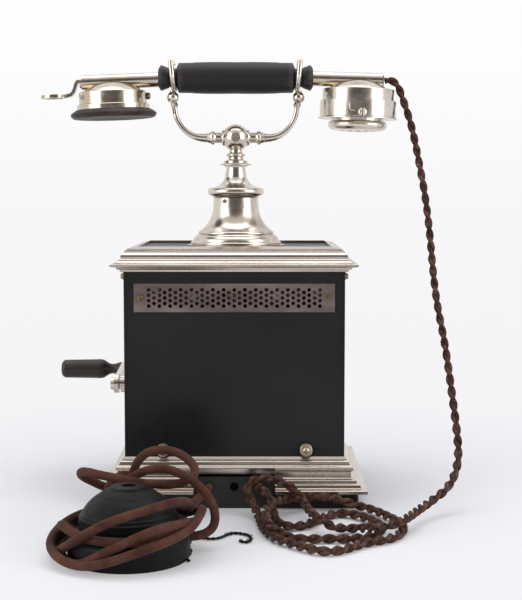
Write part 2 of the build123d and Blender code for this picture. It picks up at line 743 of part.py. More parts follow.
with BuildPart() as cradle_spring:
    with BuildLine() as spring_line:
        Helix(pitch=(spring_height - 2 * spring_wire_radius) / spring_turns,
              height=spring_height - 2 * spring_wire_radius, radius=spring_coil_radius - spring_wire_radius,
              center=(0, 0, spring_base + spring_wire_radius))
    with BuildSketch(Plane(origin=spring_line.line @ 0, z_dir=spring_line.line % 0)):
        Circle(spring_wire_radius)
    sweep(is_frenet=True)
cradle_spring.part.label = "cradle_spring"

collar_level = spring_base + spring_height
with BuildPart() as cradle_stem:
    with BuildSketch(Plane.XZ):
        add(outline([
            (0, stem_bottom), (stem_radius - 1, stem_bottom), (stem_radius, stem_bottom + 1),
            (stem_radius, collar_level), (spring_collar_radius, collar_level),
            (spring_collar_radius, collar_level + spring_collar_height),
            (stem_radius, collar_level + spring_collar_height), (stem_radius, cradle_base),
            (spigot_radius, cradle_base), (spigot_radius, cradle_base + spigot_length),
            (0, cradle_base + spigot_length),
        ]))
    revolve(axis=Axis.Z)
cradle_stem.part.label = "cradle_stem"

with BuildPart() as cradle_hub:
    with BuildSketch(Plane.XZ):
        add(outline(lifted(cradle_profile + [
            (0, cradle_profile[-1][1]), (0, spigot_length + seat_gap), (spigot_radius + seat_gap / 2, spigot_length + seat_gap),
            (spigot_radius + seat_gap / 2, 0),
        ], cradle_base)))
    revolve(axis=Axis.Z)
    with Locations((0, 0, hub_level)):
        Sphere(hub_radius)
    with BuildSketch(Plane.XZ):
        add(outline(lifted([
            (-spool_reach, 0), (-spool_reach, spool_radius + 0.6), (-spool_reach + 1, spool_radius),
            (-hub_disc_end - 0.8, spool_radius), (-hub_disc_end, hub_disc_radius - 0.6, 0.2),
            (-hub_disc_start, hub_disc_radius), (hub_disc_start, hub_disc_radius, 0.2),
            (hub_disc_end, hub_disc_radius - 0.6), (hub_disc_end + 0.8, spool_radius),
            (spool_reach - 1, spool_radius), (spool_reach, spool_radius + 0.6), (spool_reach, 0),
        ], hub_level)))
    revolve(axis=Axis((0, 0, hub_level), (1, 0, 0)))
    with BuildSketch(Plane.XZ.offset(hub_radius - 0.8)):
        with Locations((0, hub_level)):
            Circle(hub_screw_radius + seat_gap)
    extrude(amount=2, mode=Mode.SUBTRACT)
cradle_hub.part.label = "cradle_hub"

with BuildPart() as hub_screw:
    with BuildSketch(Plane.XZ.offset(hub_radius - 0.8)):
        with Locations((0, hub_level)):
            Circle(hub_screw_radius)
    extrude(amount=hub_screw_height, taper=10)
    with BuildSketch(Plane.XZ.offset(hub_radius - 0.8 + hub_screw_height)):
        with Locations((0, hub_level)):
            Rectangle(screw_slot_width, 2 * hub_screw_radius, rotation=-40)
    extrude(amount=-hub_screw_height / 2, mode=Mode.SUBTRACT)
hub_screw.part.label = "hub_screw"

prong_bottom = grip_level - neck_radius - saddle_gap - prong_radius
prong_arc_level = prong_bottom + prong_spread
prong_place = neck_start + prong_radius + 0.6
ball_level = hub_level + fork_ball_rise
arm_points = [(x, 0, hub_level + z) for x, z in fork_arm_points]
with BuildPart() as fork_right:
    with BuildSketch(Plane.XZ):
        add(outline(lifted([
            (spool_reach, 0), (spool_reach, fork_ring_radius - 0.7, 0.35), (spool_reach + fork_ring_width, fork_ring_radius - 0.7),
            (spool_reach + fork_ring_width, 4.3), (fork_arm_points[0][0], fork_arm_radius + 0.2),
            (fork_arm_points[0][0], 0),
        ], hub_level)))
    revolve(axis=Axis((0, 0, hub_level), (1, 0, 0)))
    with BuildLine() as arm_line:
        Spline(*arm_points, tangents=[(1, 0, 0), (0.12, 0, 1)])
    for step in range(8):
        with BuildSketch(Plane(origin=arm_line.line @ (step / 7), x_dir=(0, 1, 0), z_dir=arm_line.line % (step / 7))):
            Circle(fork_tip_radius + (fork_arm_radius - fork_tip_radius) * (1 - step / 7) ** 3)
    loft()
    collar_middle = arm_line.line @ 1 + Vector(0, 0, fork_collar_height / 2)
    for side in (-1, 1):
        with BuildSketch(Plane(origin=collar_middle, x_dir=(0, 1, 0), z_dir=(0.1 * side, 0, side))):
            Circle(fork_collar_radius)
        extrude(amount=fork_collar_height / 2, taper=fork_collar_taper)
    with Locations((prong_place, 0, ball_level)):
        Sphere(fork_ball_radius)
    with BuildSketch(Plane(origin=(prong_place - 0.8, 0, hub_level + fork_arm_points[-1][1] + 1), x_dir=(0, 1, 0),
                           z_dir=(0.1, 0, 1))):
        Circle(fork_tip_radius + 0.2)
    extrude(amount=prong_bottom - hub_level - fork_arm_points[-1][1] - 1)
    prong_plane = Plane(origin=(prong_place, 0, prong_arc_level), x_dir=(0, 1, 0), z_dir=(1, 0, -prong_lean / prong_length))
    with BuildLine(prong_plane) as prong_line:
        Line((-prong_spread, prong_length), (-prong_spread, 0))
        RadiusArc((-prong_spread, 0), (prong_spread, 0), -prong_spread)
        Line((prong_spread, 0), (prong_spread, prong_length))
    with BuildSketch(Plane(origin=prong_line.line @ 0, z_dir=prong_line.line % 0)):
        Circle(prong_radius)
    sweep(path=prong_line.line)
    with Locations(prong_line.line @ 0, prong_line.line @ 1):
        Sphere(prong_radius + 0.25)
fork_right.part.label = "fork_right"

with BuildPart() as fork_left:
    mirror(fork_right.part, about=Plane.YZ)
fork_left.part.label = "fork_left"

# ================================================================== handset
ear_tube_level = grip_level - ear_tube_drop
mouth_tube_level = grip_level - mouth_tube_drop
ear_start = upright_plane(-collar_end, ear_tube_level, ear_tilt)
mouth_start = upright_plane(collar_end, mouth_tube_level, -mouth_tilt)
ear_plane = upright_plane(-collar_end - ear_can_reach * cos(radians(ear_tilt)),
                          ear_tube_level - ear_can_reach * sin(radians(ear_tilt)), ear_tilt)
mouth_plane = upright_plane(collar_end + mouth_can_reach * cos(radians(mouth_tilt)),
                            mouth_tube_level - mouth_can_reach * sin(radians(mouth_tilt)), -mouth_tilt)
ear_axis = Axis(ear_plane.origin, ear_plane.y_dir)
mouth_axis = Axis(mouth_plane.origin, mouth_plane.y_dir)


def tube_section(start, inward):
    """Plane square to a tube, at its end inside the collar, facing out along the tube."""
    return Plane(origin=start.origin + start.x_dir * inward * tube_socket, x_dir=(0, 1, 0),
                 z_dir=start.x_dir * -inward)


ear_section = tube_section(ear_start, 1)
mouth_section = tube_section(mouth_start, -1)

with BuildPart() as grip:
    with BuildSketch(Plane.XZ):
        add(outline(lifted([
            (-collar_end, 0), (-collar_end, collar_end_radius), (-collar_end + 0.7, collar_end_radius + 1.2),
            (-collar_end + 1.6, collar_radius - 0.2), (-collar_end + 2.4, collar_radius),
            (-collar_start, neck_radius + 0.5), (-collar_start, neck_radius), (-neck_start, neck_radius),
            (-grip_end, grip_end_radius), (-grip_end + 9, grip_end_radius + 0.1), (-grip_end + 12, grip_end_radius + 0.4, 0.2),
            (0, grip_radius, 0.2), (grip_end - 12, grip_end_radius + 0.4), (grip_end - 9, grip_end_radius + 0.1),
            (grip_end, grip_end_radius), (neck_start, neck_radius), (collar_start, neck_radius),
            (collar_start, neck_radius + 0.5), (collar_end - 2.4, collar_radius), (collar_end - 1.6, collar_radius - 0.2),
            (collar_end - 0.7, collar_end_radius + 1.2), (collar_end, collar_end_radius), (collar_end, 0),
        ], grip_level)))
    revolve(axis=Axis((0, 0, grip_level), (1, 0, 0)))
    for section in (ear_section, mouth_section):
        with BuildSketch(section):
            Circle(tube_radius + running_gap)
        extrude(amount=2 * tube_socket, mode=Mode.SUBTRACT)
grip.part.label = "grip"

with BuildPart() as handset_tubes:
    for section, length in ((ear_section, ear_tube_length), (mouth_section, mouth_tube_length)):
        with BuildSketch(section):
            Circle(tube_radius)
        extrude(amount=tube_socket + length)
handset_tubes.part.label = "handset_tubes"

with BuildPart() as receiver_case:
    with BuildSketch(ear_plane):
        add(outline([
            (0, ear_dome_apex, dome_bow(saddle_dome_radius, ear_dome_apex - ear_can_top)), (saddle_dome_radius, ear_can_top),
            (ear_can_radius - 0.8, ear_can_top, 0.2), (ear_can_radius, ear_can_top - 0.8),
            (ear_can_radius, ear_can_bottom + ear_groove_height), (ear_can_radius - ear_groove_depth, ear_can_bottom + ear_groove_height),
            (ear_can_radius - ear_groove_depth, ear_can_bottom), (ear_ring_radius - 0.3, ear_can_bottom),
            (ear_ring_radius, ear_can_bottom - 0.3), (ear_ring_radius, ear_ring_bottom),
            (ear_can_radius - can_wall, ear_ring_bottom),
            (ear_can_radius - can_wall, ear_can_top - can_wall), (0, ear_can_top - can_wall),
        ]))
    revolve(axis=ear_axis)
    with BuildSketch(ear_section):
        Circle(tube_radius + running_gap)
    extrude(amount=2 * ear_tube_length, mode=Mode.SUBTRACT)
receiver_case.part.label = "receiver_case"

with BuildPart() as ear_cap:
    with BuildSketch(ear_plane):
        add(outline([
            (ear_hole_radius, ear_ring_bottom - 1.8), (ear_can_radius - 1, ear_ring_bottom - diaphragm_thickness),
            (ear_can_radius - 1, ear_ring_bottom), (ear_cap_shoulder, ear_ring_bottom, 0.12),
            (ear_cap_radius - 0.35, ear_cap_widest + 0.6, 0.18), (ear_cap_radius - 0.25, ear_cap_widest - 0.6, 0.4),
            (ear_cap_radius - 2.5, ear_cap_bottom, -0.5), (ear_hole_radius + 2, ear_cap_bottom + ear_dish_depth - 0.5),
            (ear_hole_radius, ear_cap_bottom + ear_dish_depth),
        ]))
    revolve(axis=ear_axis)
ear_cap.part.label = "ear_cap"

unit_top = ear_can_top - can_wall
with BuildPart() as receiver_unit:
    with BuildSketch(ear_plane):
        add(outline([
            (0, unit_top), (receiver_unit_radius, unit_top), (receiver_unit_radius, unit_top - 3),
            (receiver_unit_radius - receiver_step, unit_top - 3),
            (receiver_unit_radius - receiver_step, unit_top - receiver_unit_height),
            (0, unit_top - receiver_unit_height),
        ]))
        with Locations((0, ear_ring_bottom - diaphragm_thickness)):
            Rectangle(ear_can_radius - 1 - seat_gap, diaphragm_thickness, align=Align.MIN)
    revolve(axis=ear_axis)
receiver_unit.part.label = "receiver_unit"

with BuildPart() as hanging_hook:
    hook_corners = [(-ear_tube_length - out, up) for out, up in hook_points]
    with BuildSketch(Plane(origin=ear_start.origin - ear_start.x_dir * ear_tube_length, x_dir=(0, 1, 0),
                           z_dir=ear_start.x_dir * -1)):
        Circle(hook_plug_radius)
    extrude(amount=hook_plug_length)
    with BuildSketch(Plane(origin=ear_start.origin, x_dir=ear_start.x_dir, z_dir=(0, -1, 0)).offset(-hook_width / 2)):
        with BuildLine():
            Polyline(*hook_corners)
            offset(amount=hook_thickness / 2)
        make_face()
    extrude(amount=hook_width)
    with BuildSketch(Plane(origin=ear_start.origin + ear_start.x_dir * (hook_corners[-1][0] - hook_ring_radius + 1.5)
                           + ear_start.y_dir * (hook_corners[-1][1] - hook_thickness / 2),
                           x_dir=ear_start.x_dir, z_dir=ear_start.y_dir)):
        Circle(hook_ring_radius)
        Circle(hook_ring_hole_radius, mode=Mode.SUBTRACT)
    extrude(amount=hook_thickness)
hanging_hook.part.label = "hanging_hook"

mouth_inner = mouth_lower_radius - can_wall
stud_plane = Plane(origin=mouth_plane.origin + mouth_plane.x_dir * bayonet_stud_place[0]
                   + mouth_plane.y_dir * (mouth_can_bottom + bayonet_stud_place[1]) + Vector(0, -mouth_lower_radius, 0),
                   x_dir=(1, 0, 0), z_dir=(0, -1, 0))
with BuildPart() as transmitter_case:
    with BuildSketch(mouth_plane):
        add(outline([
            (0, mouth_dome_apex, dome_bow(saddle_dome_radius, mouth_dome_apex - mouth_can_top)), (saddle_dome_radius, mouth_can_top),
            (mouth_can_radius - 0.8, mouth_can_top, 0.25), (mouth_can_radius, mouth_can_top - 0.8),
            (mouth_can_radius, mouth_can_step), (mouth_lower_radius, mouth_can_step - 0.2),
            (mouth_lower_radius, mouth_can_bottom + mouth_lip_height), (mouth_lip_radius, mouth_can_bottom + 0.7),
            (mouth_lip_radius, mouth_can_bottom), (mouth_opening_radius, mouth_can_bottom),
            (mouth_opening_radius, mouth_can_bottom + can_wall), (mouth_can_radius - can_wall, mouth_can_bottom + can_wall),
            (mouth_can_radius - can_wall, mouth_can_top - can_wall), (0, mouth_can_top - can_wall),
        ]))
    revolve(axis=mouth_axis)
    with BuildSketch(stud_plane.offset(-0.5)):
        Circle(bayonet_stud_radius)
    extrude(amount=bayonet_stud_height + 0.5)
    with BuildSketch(stud_plane.offset(bayonet_stud_height)):
        Rectangle(screw_slot_width, 3 * bayonet_stud_radius, rotation=5)
    extrude(amount=-bayonet_stud_height / 2, mode=Mode.SUBTRACT)
    with BuildSketch(mouth_section):
        Circle(tube_radius + running_gap)
    extrude(amount=2 * mouth_tube_length, mode=Mode.SUBTRACT)
transmitter_case.part.label = "transmitter_case"

cap_top = mouth_can_bottom - mouth_neck_length
cap_bottom = cap_top - mouth_cap_height
with BuildPart() as mouthpiece:
    with BuildSketch(mouth_plane):
        add(outline([
            (mouth_opening_radius, mouth_can_bottom), (mouth_neck_radius, mouth_can_bottom), (mouth_neck_radius, cap_top),
            (mouth_cap_radius - 1.6, cap_top - 0.3, 0.35), (mouth_cap_radius, cap_top - 2.5, 0.1),
            (mouth_cap_radius - 0.3, cap_bottom + 2.2, 0.5),
            (mouth_cap_radius - mouth_cap_edge, cap_bottom, dome_bow(mouth_cap_radius - mouth_cap_edge, mouth_cap_bulge)),
            (0, cap_bottom - mouth_cap_bulge),
            (0, cap_bottom - mouth_cap_bulge + mouth_cap_wall, -dome_bow(mouth_opening_radius, mouth_cap_bulge)),
            (mouth_opening_radius, cap_bottom + mouth_cap_wall),
        ]))
    revolve(axis=mouth_axis)
    for ring_radius, holes in mouth_hole_rings:
        with BuildSketch(Plane(origin=mouth_plane.origin + mouth_plane.y_dir * cap_top, x_dir=(0, 1, 0),
                               z_dir=mouth_plane.y_dir * -1)):
            with PolarLocations(ring_radius, holes):
                Circle(mouth_hole_radius)
        extrude(amount=2 * mouth_cap_height, mode=Mode.SUBTRACT)
mouthpiece.part.label = "mouthpiece"

with BuildPart() as transmitter_capsule:
    with BuildSketch(mouth_plane):
        add(outline([
            (0, mouth_can_bottom + can_wall), (capsule_radius, mouth_can_bottom + can_wall),
            (capsule_radius, mouth_can_bottom + can_wall + capsule_height - 3, 0.5),
            (capsule_radius - 5, mouth_can_bottom + can_wall + capsule_height),
            (0, mouth_can_bottom + can_wall + capsule_height),
        ]))
    revolve(axis=mouth_axis)
transmitter_capsule.part.label = "transmitter_capsule"

ear_knob_plane = Plane(origin=ear_plane.origin + ear_plane.x_dir * ear_can_radius + ear_plane.y_dir * (ear_can_bottom + 5.5),
                       x_dir=ear_plane.x_dir, z_dir=(0, -1, 0))
with BuildPart() as handset_screws:
    with BuildSketch(ear_knob_plane):
        add(outline([
            (0, 0), (0, knob_radius - 0.2), (0.8, knob_radius, 0.6), (knob_length, 0.9), (knob_length, 0),
        ]))
    revolve(axis=Axis(ear_knob_plane.origin, ear_knob_plane.x_dir))
handset_screws.part.label = "handset_screws"

bush_plane = Plane(origin=mouth_start.origin, x_dir=mouth_start.x_dir, z_dir=(0, -1, 0))
with BuildPart() as cord_bush:
    with BuildSketch(bush_plane):
        add(outline([
            (mouth_tube_length, 0), (mouth_tube_length, cord_bush_radius),
            (mouth_tube_length + cord_bush_length, cord_bush_end_radius), (mouth_tube_length + cord_bush_length, 0),
        ]))
    revolve(axis=Axis(mouth_start.origin, mouth_start.x_dir))
cord_bush.part.label = "cord_bush"

# ================================================================== crank
bush_face = -case_side - crank_bush_reach
arm_outer = bush_face - crank_arm_gap - crank_arm_thickness
magneto_right = magneto_left + magneto_length
spindle_y = crank_arm_radius * cos(radians(crank_arm_rise))
spindle_z = crank_level + crank_arm_radius * sin(radians(crank_arm_rise))
crank_line = Plane(origin=(0, 0, crank_level), x_dir=(1, 0, 0), z_dir=(0, -1, 0))
crank_axis = Axis((0, 0, crank_level), (1, 0, 0))
with BuildPart() as crank_bush:
    with BuildSketch(crank_line):
        add(outline([
            (-case_side + crank_bush_tail, crank_shaft_radius + running_gap),
            (-case_side + crank_bush_tail, crank_bush_radius - 1), (-case_side, crank_bush_radius - 1),
            (-case_side, crank_bush_flange_radius), (-case_side - crank_bush_flange, crank_bush_flange_radius),
            (-case_side - crank_bush_flange - 0.6, crank_bush_radius), (bush_face, crank_bush_radius),
            (bush_face, crank_shaft_radius + running_gap),
        ]))
    revolve(axis=crank_axis)
crank_bush.part.label = "crank_bush"

gear_inner = gear_place + gear_width
with BuildPart() as crank_shaft:
    with BuildSketch(Plane.YZ.offset(arm_outer - crank_nut_height)):
        with Locations((0, crank_level)):
            Circle(crank_shaft_radius)
    extrude(amount=magneto_right + shaft_end - arm_outer + crank_nut_height)
crank_shaft.part.label = "crank_shaft"

with BuildPart() as crank_arm:
    with BuildSketch(Plane.YZ.offset(arm_outer)):
        with Locations((0, crank_level)):
            Circle(crank_hub_radius)
        with Locations((spindle_y, spindle_z)):
            Circle(crank_arm_end_radius)
        with Locations(((spindle_y) / 2, (crank_level + spindle_z) / 2)):
            Rectangle(crank_arm_radius, 2 * crank_arm_end_radius, rotation=crank_arm_rise)
    extrude(amount=crank_arm_thickness)
    with BuildSketch(Plane.YZ.offset(arm_outer)):
        with Locations((0, crank_level)):
            Circle(crank_nut_radius)
    extrude(amount=-crank_nut_height, taper=8)
    with BuildSketch(Plane.YZ.offset(arm_outer - crank_nut_height)):
        with Locations((0, crank_level)):
            Circle(crank_shaft_radius)
    extrude(amount=crank_nut_height + crank_arm_thickness, mode=Mode.SUBTRACT)
    with BuildSketch(Plane.YZ.offset(arm_outer)):
        with Locations((spindle_y, spindle_z)):
            Circle(spindle_radius)
    extrude(amount=-spindle_length)
crank_arm.part.label = "crank_arm"

grip_start = arm_outer - moving_gap
grip_line = Plane(origin=(grip_start, spindle_y, spindle_z), x_dir=(-1, 0, 0), z_dir=(0, 1, 0))
with BuildPart() as crank_grip:
    with BuildSketch(grip_line):
        add(outline(crank_grip_profile + [
            (crank_grip_length, 0), (spindle_length, 0), (spindle_length, spindle_radius + running_gap),
            (0, spindle_radius + running_gap),
        ]))
    revolve(axis=Axis(grip_line.origin, (-1, 0, 0)))
crank_grip.part.label = "crank_grip"

# ================================================================== magneto
gear_centres = gear_module * (drive_teeth + pinion_teeth) / 2
armature_level = crank_level - gear_centres
with BuildPart() as drive_gear:
    with BuildSketch(Plane.YZ.offset(gear_place)):
        with Locations((0, crank_level)):
            Polygon(*gear_corners(drive_teeth, -90), align=None)
            Circle(crank_shaft_radius, mode=Mode.SUBTRACT)
            with PolarLocations(gear_module * drive_teeth * 0.3, 5):
                Circle(gear_module * drive_teeth * 0.08, mode=Mode.SUBTRACT)
    extrude(amount=gear_width)
drive_gear.part.label = "drive_gear"

with BuildPart() as armature_pinion:
    with BuildSketch(Plane.YZ.offset(gear_place)):
        with Locations((0, armature_level)):
            Polygon(*gear_corners(pinion_teeth, 90 + 180 / pinion_teeth), align=None)
            Circle(armature_shaft_radius, mode=Mode.SUBTRACT)
    extrude(amount=gear_width)
armature_pinion.part.label = "armature_pinion"

plate_inner = magneto_left + magneto_plate_thickness
with BuildPart() as armature:
    with BuildSketch(Plane.YZ.offset(plate_inner + 1)):
        with Locations((0, armature_level)):
            Circle(armature_radius)
            with GridLocations(armature_slot + armature_radius, 1, 2, 1):
                Rectangle(armature_slot, 2 * armature_slot - 6, mode=Mode.SUBTRACT)
    extrude(amount=magneto_length - 2 * magneto_plate_thickness - 2)
    with BuildSketch(Plane.YZ.offset(gear_place - 1)):
        with Locations((0, armature_level)):
            Circle(armature_shaft_radius)
    extrude(amount=magneto_right + shaft_end - gear_place + 1)
armature.part.label = "armature"

with BuildPart() as magneto_plates:
    for place in (magneto_left, magneto_right - magneto_plate_thickness):
        with BuildSketch(Plane.YZ.offset(place)):
            with Locations((0, plinth_height + magneto_plate_height / 2)):
                RectangleRounded(magneto_plate_width, magneto_plate_height, 5)
            with Locations((0, plinth_height + 3)):
                Rectangle(magneto_plate_width, 6)
            with Locations((0, crank_level)):
                Circle(crank_shaft_radius + running_gap, mode=Mode.SUBTRACT)
            with Locations((0, armature_level)):
                Circle(armature_shaft_radius + running_gap, mode=Mode.SUBTRACT)
        extrude(amount=magneto_plate_thickness)
magneto_plates.part.label = "magneto_plates"

magnet_pitch = (magneto_length - 2 * magneto_plate_thickness) / magnet_count
magnet_inner = magneto_plate_width / 2
with BuildPart() as magneto_magnets:
    for index in range(magnet_count):
        start = plate_inner + (index + 0.5) * magnet_pitch - magnet_width / 2
        with BuildSketch(Plane.YZ.offset(start)):
            with Locations((0, magnet_arch_level)):
                Circle(magnet_inner + magnet_thickness)
            with Locations((0, (magnet_arch_level + magnet_leg_bottom) / 2)):
                Rectangle(2 * (magnet_inner + magnet_thickness), magnet_arch_level - magnet_leg_bottom)
            with Locations((0, magnet_arch_level)):
                Circle(magnet_inner, mode=Mode.SUBTRACT)
            with Locations((0, (magnet_arch_level + magnet_leg_bottom) / 2)):
                Rectangle(2 * magnet_inner, magnet_arch_level - magnet_leg_bottom, mode=Mode.SUBTRACT)
        extrude(amount=magnet_width)
    with BuildSketch(Plane.YZ.offset(plate_inner)):
        with Locations((0, armature_level)):
            Rectangle(2 * magnet_inner, pole_height)
            Circle(armature_radius + pole_gap, mode=Mode.SUBTRACT)
            Rectangle(armature_radius, pole_height, mode=Mode.SUBTRACT)
    extrude(amount=magneto_length - 2 * magneto_plate_thickness)
magneto_magnets.part.label = "magneto_magnets"

# ================================================================== ringer
plate_rear = mounting_plate_place + mounting_plate_thickness
rocker_bottom = ringer_yoke_level + ringer_yoke_thickness + ringer_coil_height + rocker_air_gap
pin_level = rocker_bottom + rocker_thickness / 2
gong_offset = gong_radius + gong_gap / 2
gong_front = gong_rim_place - gong_depth
post_length = mounting_plate_place - gong_front
with BuildPart() as mounting_plate:
    with BuildSketch(Plane.XZ.offset(-plate_rear)):
        with Locations((0, (case_bottom + mounting_plate_top) / 2)):
            Rectangle(inner_width - 2 * seat_gap, mounting_plate_top - case_bottom)
        with Locations((0, case_bottom)):
            Rectangle(wire_notch_width, 2 * wire_notch_height, mode=Mode.SUBTRACT)
    extrude(amount=mounting_plate_thickness)
    with BuildSketch(Plane.XZ.offset(-mounting_plate_place)):
        with Locations((0, pin_level)):
            Circle(rocker_pin_radius)
    extrude(amount=mounting_plate_place - ringer_place + rocker_depth)
    for post_x in (-gong_offset, gong_offset):
        post_plane = Plane(origin=(post_x, mounting_plate_place, gong_level), x_dir=(1, 0, 0), z_dir=(0, 0, -1))
        with BuildSketch(post_plane):
            add(outline([
                (0, 0), (gong_post_radius + 2, 0), (gong_post_radius + 2, post_length - gong_wall),
                (gong_post_radius, post_length - gong_wall), (gong_post_radius, post_length), (0, post_length),
            ]))
        revolve(axis=Axis(post_plane.origin, (0, -1, 0)))
mounting_plate.part.label = "mounting_plate"

with BuildPart() as gongs:
    for offset_x in (-gong_offset, gong_offset):
        gong_plane = Plane(origin=(offset_x, gong_rim_place, gong_level), x_dir=(1, 0, 0), z_dir=(0, 0, -1))
        with BuildSketch(gong_plane):
            add(outline([
                (gong_radius, 0), (gong_radius, 2, 2.6), (gong_radius - gong_shoulder, gong_depth - 2.5, 0.5), (gong_crown, gong_depth),
                (gong_post_radius + seat_gap / 2, gong_depth), (gong_post_radius + seat_gap / 2, gong_depth - gong_wall),
                (gong_crown, gong_depth - gong_wall, -0.5), (gong_radius - gong_shoulder - gong_wall, gong_depth - 3.4, -2.6),
                (gong_radius - gong_wall, 2), (gong_radius - gong_wall, 0),
            ]))
        revolve(axis=Axis(gong_plane.origin, (0, -1, 0)))
gongs.part.label = "gongs"

yoke_top = ringer_yoke_level + ringer_yoke_thickness
yoke_depth = mounting_plate_place - ringer_place + ringer_coil_radius
with BuildPart() as ringer_yoke:
    with BuildSketch(Plane.XY.offset(ringer_yoke_level)):
        with Locations((0, mounting_plate_place - yoke_depth / 2)):
            Rectangle(ringer_yoke_width, yoke_depth)
    extrude(amount=ringer_yoke_thickness)
    with BuildSketch(Plane.XY.offset(yoke_top)):
        with Locations((0, ringer_place)):
            with GridLocations(ringer_coil_spacing, 1, 2, 1):
                Circle(ringer_core_radius)
    extrude(amount=ringer_coil_height + 2)
ringer_yoke.part.label = "ringer_yoke"

with BuildPart() as ringer_coils:
    with BuildSketch(Plane.XY.offset(yoke_top)):
        with Locations((0, ringer_place)):
            with GridLocations(ringer_coil_spacing, 1, 2, 1):
                Circle(ringer_coil_radius)
                Circle(ringer_core_radius + running_gap, mode=Mode.SUBTRACT)
    extrude(amount=ringer_coil_height)
ringer_coils.part.label = "ringer_coils"

with BuildPart() as clapper:
    with BuildSketch(Plane.XZ.offset(-ringer_place - rocker_depth / 2)):
        with Locations((0, pin_level)):
            Rectangle(rocker_length, rocker_thickness)
            Circle(2 * rocker_pin_radius)
            Circle(rocker_pin_radius + running_gap, mode=Mode.SUBTRACT)
    extrude(amount=rocker_depth)
    with BuildSketch(Plane.XY.offset(pin_level + rocker_pin_radius + 1)):
        with Locations((0, clapper_ball_place)):
            Circle(clapper_rod_radius)
    extrude(amount=gong_level - pin_level - rocker_pin_radius - 1)
    with Locations((0, clapper_ball_place, gong_level)):
        Sphere(clapper_ball_radius)
clapper.part.label = "clapper"

# ================================================================== hook switch
lever_top = stem_bottom - moving_gap
pivot_level = lever_top - switch_lever_thickness / 2
cheek_inner = switch_lever_width / 2 + switch_cheek_gap
with BuildPart() as hook_switch_frame:
    with BuildSketch(Plane.YZ.offset(cheek_inner)):
        with Locations((switch_pivot_place, (inner_top + pivot_level - switch_cheek_drop) / 2)):
            Rectangle(switch_cheek_depth, inner_top - pivot_level + switch_cheek_drop)
    extrude(amount=switch_cheek_thickness)
    mirror(about=Plane.YZ)
    with BuildSketch(Plane.XY.offset(inner_top)):
        with Locations((0, switch_pivot_place)):
            Rectangle(2 * (cheek_inner + switch_cheek_thickness), switch_cheek_depth)
    extrude(amount=-switch_cheek_thickness)
    with BuildSketch(Plane.YZ):
        with Locations((switch_pivot_place, pivot_level)):
            Circle(switch_pivot_radius)
    extrude(amount=cheek_inner + switch_cheek_thickness, both=True)
hook_switch_frame.part.label = "hook_switch_frame"

with BuildPart() as hook_switch_lever:
    with BuildSketch(Plane.YZ):
        with Locations((switch_pivot_place / 2 + switch_lever_tail / 2 - stem_radius / 2, pivot_level)):
            Rectangle(switch_pivot_place + switch_lever_tail + stem_radius, switch_lever_thickness)
        with Locations((switch_pivot_place, pivot_level)):
            Circle(switch_hub_radius)
            Circle(switch_pivot_radius + running_gap, mode=Mode.SUBTRACT)
    extrude(amount=switch_lever_width / 2, both=True)
hook_switch_lever.part.label = "hook_switch_lever"

back_face = case_depth / 2 - case_wall
contact_start = switch_pivot_place + switch_lever_tail - 4
with BuildPart() as contact_springs:
    with BuildSketch(Plane.XY.offset(lever_top - 2)):
        with Locations((0, back_face - contact_block_depth / 2)):
            Rectangle(contact_block_width, contact_block_depth)
    extrude(amount=contact_count * contact_step + 4)
    for index in range(contact_count):
        with BuildSketch(Plane.XY.offset(lever_top + moving_gap + index * contact_step)):
            with Locations(((0, (contact_start + back_face - contact_block_depth) / 2))):
                Rectangle(contact_width, back_face - contact_block_depth - contact_start)
        extrude(amount=contact_thickness)
contact_springs.part.label = "contact_springs"

# ================================================================== speech circuit
coil_level = plinth_height + coil_cheek / 2
with BuildPart() as induction_coil:
    for place in (coil_start, coil_start + coil_length - coil_cheek_thickness):
        with BuildSketch(Plane.YZ.offset(place)):
            with Locations((coil_place, coil_level)):
                Rectangle(coil_cheek, coil_cheek)
        extrude(amount=coil_cheek_thickness)
    with BuildSketch(Plane.YZ.offset(coil_start)):
        with Locations((coil_place, coil_level)):
            Circle(winding_radius)
    extrude(amount=coil_length)
    with BuildSketch(Plane.YZ.offset(coil_start - 2)):
        with Locations((coil_place, coil_level)):
            Circle(core_radius)
    extrude(amount=coil_length + 4)
induction_coil.part.label = "induction_coil"

with BuildPart() as capacitor:
    with BuildSketch(Plane.XY.offset(plinth_height)):
        with Locations((case_side - capacitor_inset, case_front + capacitor_setback)):
            Rectangle(capacitor_size[0], capacitor_size[1])
    extrude(amount=capacitor_size[2])
    fillet(capacitor.edges().filter_by(Axis.Z), 2)
capacitor.part.label = "capacitor"

with BuildPart() as terminal_strip:
    with BuildSketch(Plane.XY.offset(plinth_height)):
        with Locations((0, terminal_block_place)):
            Rectangle(terminal_block_size[0], terminal_block_size[1])
    extrude(amount=terminal_block_size[2])
    with BuildSketch(Plane.XY.offset(plinth_height + terminal_block_size[2])):
        with Locations((0, terminal_block_place)):
            with GridLocations(terminal_step, 1, terminal_count, 1):
                Circle(terminal_radius)
    extrude(amount=terminal_height)
terminal_strip.part.label = "terminal_strip"

# ================================================================== rosette
rosette_plane = Plane(origin=(rosette_place[0], rosette_place[1], 0), x_dir=(1, 0, 0), z_dir=(0, -1, 0))
rosette_axis = Axis((rosette_place[0], rosette_place[1], 0), (0, 0, 1))
with BuildPart() as rosette_base:
    with BuildSketch(rosette_plane):
        add(outline([
            (0, 0), (rosette_radius - 0.8, 0), (rosette_radius, 1), (rosette_radius, rosette_height - 3, 0.6),
            (rosette_radius - 3, rosette_height), (0, rosette_height),
        ]))
    revolve(axis=rosette_axis)
rosette_base.part.label = "rosette_base"

